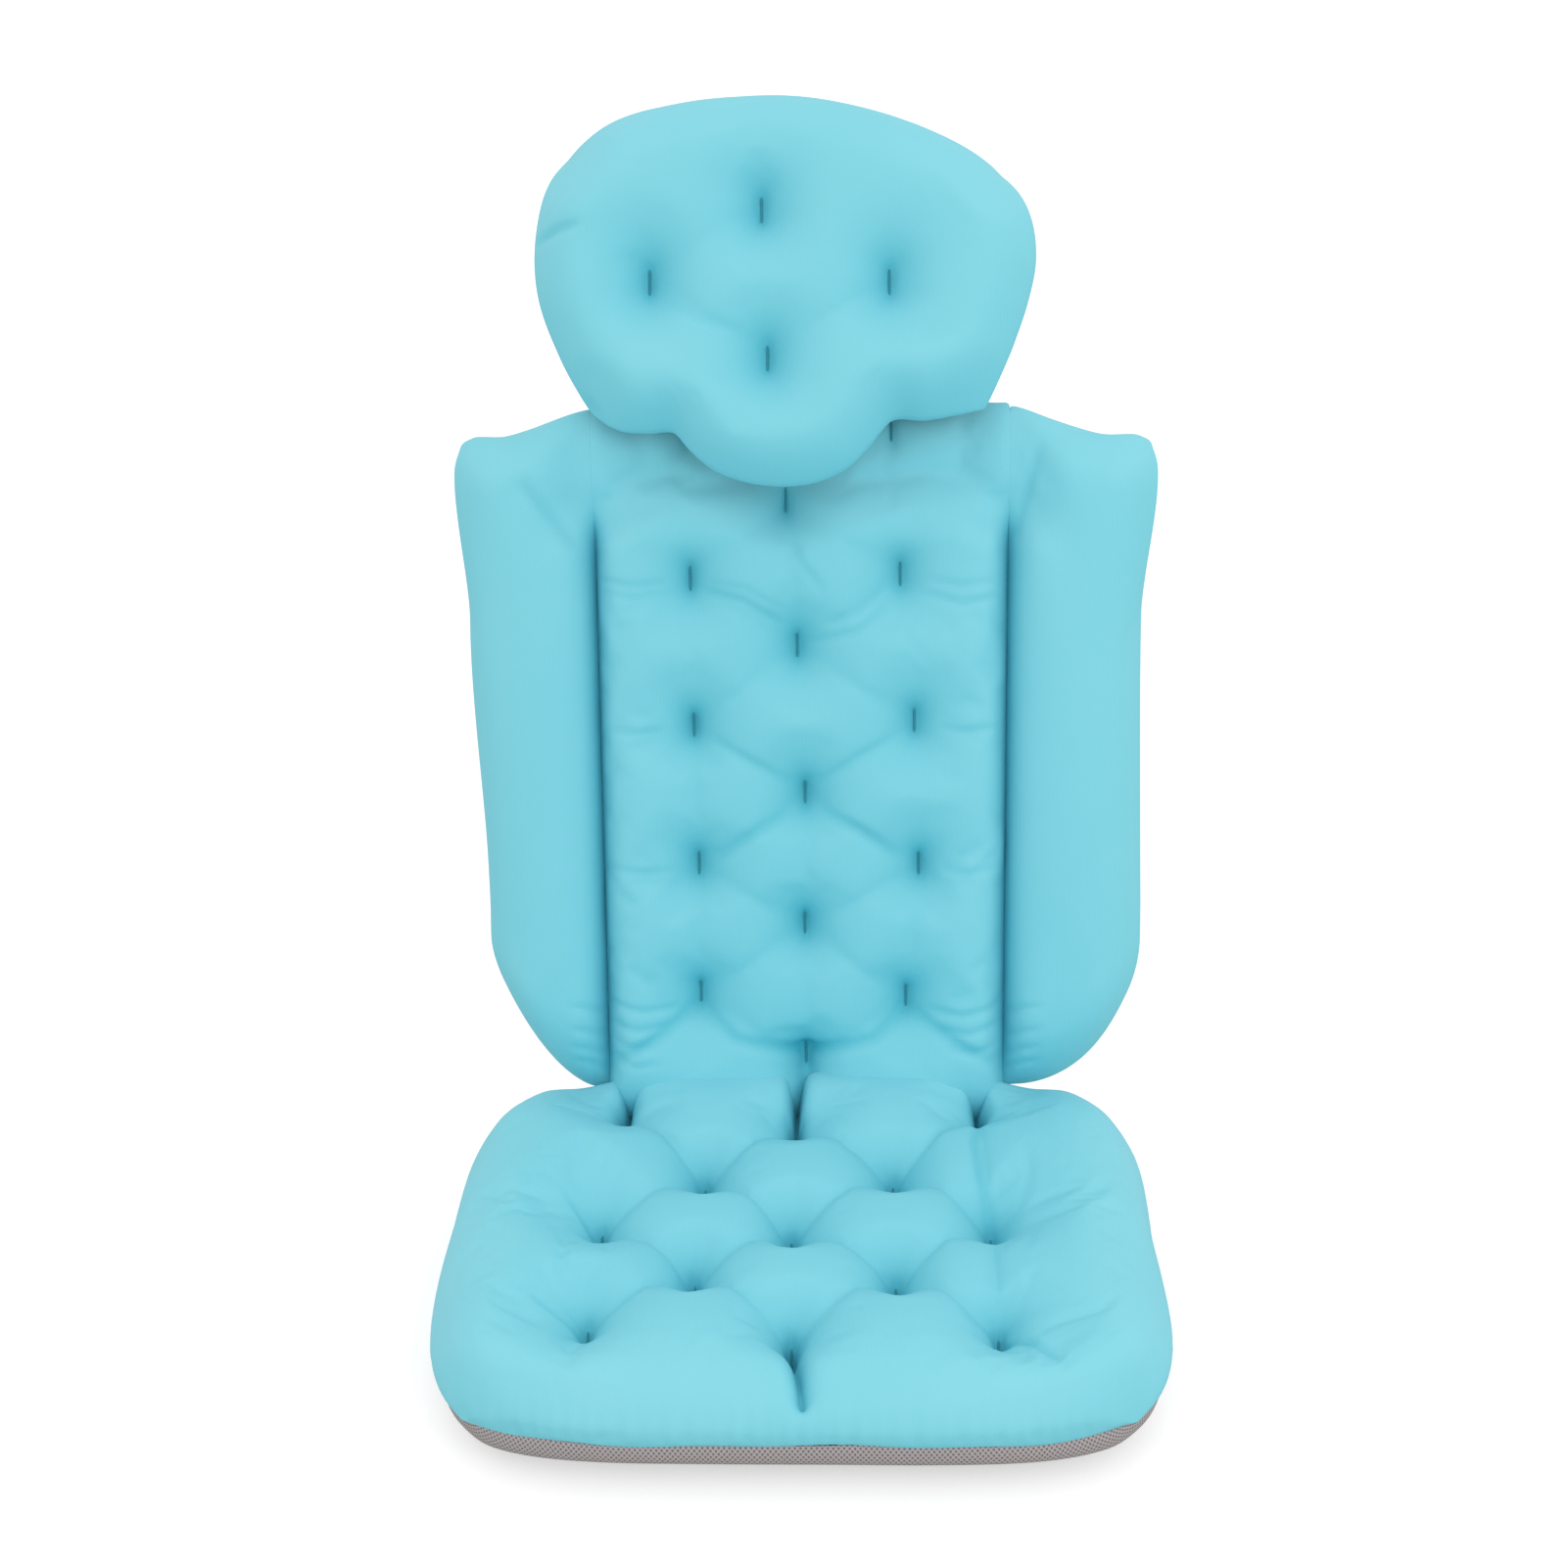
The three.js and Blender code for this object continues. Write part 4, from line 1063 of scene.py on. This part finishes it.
def ribbed(name, scale, distortion, painted_groove_shade, rib, strength, look):
    """A material with ribs across the plan: two tones and a bump of 0.3 mm, in one sine wave.
    The darker tone lies in the grooves, as painted shade.
    """
    material, tree, out = new_material(name)
    plan = add(tree, "UVMap", uv_map="plan")
    wave = add(tree, "TexWave", {"Vector": plan.outputs["UV"], "Scale": scale,
                                 "Distortion": distortion}, bands_direction="X")
    bump = add(tree, "Bump", {"Height": wave.outputs["Fac"], "Strength": strength,
                              "Distance": 0.0003})
    skin = add(tree, "BsdfPrincipled", {"Base Color": mixed(tree, wave.outputs["Fac"], painted_groove_shade, rib),
                                        "Normal": bump.outputs[0], **look})
    tree.links.new(skin.outputs[0], out.inputs["Surface"])
    return material


def satin_stitch():
    """Trilobal polyester sewing thread in satin stitch, dyed a darker teal than the cover: it
    glints softly. The threads lie 0.9 mm apart across the bar."""
    return ribbed("teal_satin_stitch", 350.0, 0.6, TACK_PAINTED_GROOVE_SHADE, TACK_THREAD, 0.6,
                  {"Roughness": 0.45})


def bar_tacks(name, cushion, tufts, body, place):
    """A bar on each tuft of a cushion, at the height of the skin's nearest points."""
    origin, up, out = place
    local = points_of(cushion.data) - origin
    skin = np.stack([local @ ACROSS, local @ up, local @ out], -1)
    shells = []
    share = np.linspace(-1, 1, 13)
    for tuft in tufts:
        line = np.stack([0 * share + tuft[0], tuft[1] + share * TACK_LENGTH / 2], -1)
        far = np.linalg.norm(skin[None, :, :2] - line[:, None], axis=2) - 0.05 * skin[None, :, 2]
        height = np.sort(skin[:, 2][np.argsort(far, axis=1)[:, :4]], axis=1)[:, -2]
        height = np.convolve(np.pad(height, 2, "edge"), np.full(5, 0.2), "valid")
        path = origin + line[:, :1] * ACROSS + line[:, 1:] * up + (height[:, None] + 0.0003) * out
        taper = np.sqrt(np.clip(1.02 - share ** 6, 0.1, 1))
        shells.append(tube(path, ACROSS, out, TACK_WIDTH / 2 * taper, TACK_HEIGHT * taper))
    made = joined(name, shells)
    dress(made, thread, "cover_fabric")
    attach(made, body)


thread = satin_stitch()
bar_tacks("seat_bar_tacks", seat_pad, SEAT_TUFTS, "seat", SEAT_PLACE)
bar_tacks("back_bar_tacks", panel, PANEL_TUFTS, "back", BACK_PLACE)
bar_tacks("head_bar_tacks", head_pad, HEAD_TUFTS, "head", HEAD_PLACE)


# Seams. Rolled and bound edges of grey polyester webbing, where two cushions are sewn together
# along a line and fold about it: seat to back, back to each wing, and back to head.
WEBBING = "#8b8586"
# Painted shade: the darker tone in the grooves between the ribs.
WEBBING_PAINTED_GROOVE_SHADE = "#767072"


def rib_webbing():
    """Woven polyester binding tape: matt, with ribs across it 2.4 mm apart."""
    return ribbed("grey_rib_webbing", 131.0, 0.4, WEBBING_PAINTED_GROOVE_SHADE, WEBBING, 0.5,
                  {"Roughness": 0.8, "Specular IOR Level": 0.3})


def rolled_seam(name, node, along, body):
    """Rolled seam in place of a CAD bead: a tube of its radius, with domed ends."""
    low, high = map(np.array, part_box(node))
    middle, reach = (low + high) / 2, np.max((high - low) @ np.abs(along) / 2) - 0.0002
    radius = (high - low)[0 if abs(along[0]) < 0.5 else 1] / 2
    share = np.linspace(-1, 1, 81)
    inward = reach * (1 - np.abs(share))
    dome = np.sqrt(np.clip(1 - (1 - np.clip(inward / radius, 0, 1)) ** 2, 0.04, 1))
    side = UP if abs(along[0]) > 0.5 else ACROSS
    path = middle + share[:, None] * reach * along
    made = joined(name, [tube(path, side, np.cross(along, side), radius * dome, radius * dome)])
    dress(made, tape, "webbing", node)
    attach(made, body)


tape = rib_webbing()
rolled_seam("fold_seam_roll", "seat_back_seam", ACROSS, "seat")
rolled_seam("left_wing_seam_roll", "left_wing_seam", BACK_UP, "back")
rolled_seam("right_wing_seam_roll", "right_wing_seam", BACK_UP, "back")
rolled_seam("neck_seam_roll", "neck_seam", ACROSS, "back")


# Neck flap. A strip of the same webbing, 190 mm wide, that comes up behind the panel's top hem
# and is rolled into the neck seam; it carries the head pillow.
FLAP_THICKNESS = 0.0012
FLAP_LINE = np.array([(0.4799, 0.0052), (0.4799, 0.0076), (0.4797, 0.0096), (0.4775, 0.0136),
                      (0.4745, 0.0184), (0.4712, 0.0237)])
low, high = map(np.array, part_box("neck_flap"))
across = np.linspace(low[0], high[0], 61)
ahead = np.gradient(FLAP_LINE, axis=0)
behind = np.stack([ahead[:, 1], -ahead[:, 0]], -1)
behind *= FLAP_THICKNESS / 2 / np.linalg.norm(behind, axis=1)[:, None]
loop = np.vstack([FLAP_LINE - behind, (FLAP_LINE + behind)[::-1]])
rings = (BACK_ORIGIN + across[:, None, None] * ACROSS + loop[None, :, :1] * BACK_UP
         + loop[None, :, 1:] * BACK_OUT)
flap = joined("neck_strip", [sleeve(rings, across, run_along(loop))])
dress(flap, tape, "webbing", "neck_flap")
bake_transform(flap)


# Suction cups. Soft clear-white PVC cups, 44 mm across, that hold the pillow to the bath. The
# stem goes through a hole in the mesh and a sewn webbing patch, and a knob keeps it there.
CUP_VINYL = "#dfe3e1"
LATHE_SIDES = 48


def soft_vinyl():
    """Plasticised PVC, moulded: half clear with a slight milkiness, a smooth gloss, and faint
    flow marks."""
    material, tree, out = new_material("milky_soft_vinyl")
    place = add(tree, "TexCoord")
    flow = add(tree, "TexNoise", {"Vector": place.outputs["Object"], "Scale": 90.0,
                                  "Detail": 2.0})
    rough = add(tree, "MapRange", {"Value": flow.outputs["Fac"], "To Min": 0.16,
                                   "To Max": 0.28})
    skin = add(tree, "BsdfPrincipled", {
        "Base Color": linear(CUP_VINYL), "Roughness": rough.outputs[0], "IOR": 1.53,
        "Transmission Weight": 0.35})
    tree.links.new(skin.outputs[0], out.inputs["Surface"])
    return material


def lathe(profile, u, v, place):
    """Profile of (radius, height) in mm, turned about a cushion's out direction at (u, v)."""
    origin, up, out = place
    profile = np.array(profile) / 1000
    turn = np.linspace(0, 2 * np.pi, LATHE_SIDES, endpoint=False)
    radius, height = profile[:, :1, None], profile[:, 1:, None]
    rings = (origin + u * ACROSS + v * up + radius * np.cos(turn)[None, :, None] * ACROSS
             + radius * np.sin(turn)[None, :, None] * up + height * out)
    return sleeve(rings, run_along(profile), turn * 0.012)


CUP_PROFILE = [
    (0.4, 6.3), (4.5, 6.3), (5.8, 6.1), (6.7, 5.5), (7.0, 4.6), (6.8, 3.7), (6.2, 3.35),
    (4.3, 3.3), (4.0, 3.0), (4.0, -1.2), (4.3, -1.9), (5.2, -2.0), (8.0, -2.1), (9.5, -2.6),
    (12.0, -4.0), (15.0, -6.4), (18.0, -9.0), (20.4, -11.0), (21.6, -12.0), (22.0, -12.8),
    (21.8, -13.4), (21.2, -13.5), (20.0, -13.3), (18.4, -12.0), (16.0, -9.9), (13.0, -8.8),
    (8.0, -8.5), (0.4, -8.5)]
PATCH_PROFILE = [
    (4.4, -0.4), (8.0, -0.35), (12.2, -0.35), (12.8, -0.55), (13.4, -0.4), (13.9, -0.8),
    (14.0, -1.1), (13.8, -1.5), (13.2, -1.7), (12.8, -1.55), (12.2, -1.7), (8.0, -1.7),
    (4.4, -1.65), (4.3, -1.0)]
vinyl = soft_vinyl()
for body, places, place, nodes in (
        ("seat", [(x, y) for x in (-0.112, 0.112) for y in (-0.24, -0.034)], SEAT_PLACE,
         ["seat_cup_front_left", "seat_cup_rear_left", "seat_cup_front_right",
          "seat_cup_rear_right"]),
        ("back", [(x, y) for x in (-0.072, 0.072) for y in (0.13, 0.385)], BACK_PLACE,
         ["back_cup_low_left", "back_cup_high_left", "back_cup_low_right",
          "back_cup_high_right"]),
        ("head", [(-0.062, 0.084), (0.062, 0.084)], HEAD_PLACE,
         ["head_cup_left", "head_cup_right"])):
    cups = joined(body + "_suction_cups", [lathe(CUP_PROFILE, x, y, place) for x, y in places])
    dress(cups, vinyl, "cup_vinyl", *nodes)
    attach(cups, body)
    patches = joined(body + "_cup_webbing", [lathe(PATCH_PROFILE, x, y, place)
                                             for x, y in places])
    dress(patches, tape, "webbing", *[node.replace("_cup_", "_cup_patch_") for node in nodes])
    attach(patches, body)


low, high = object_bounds()
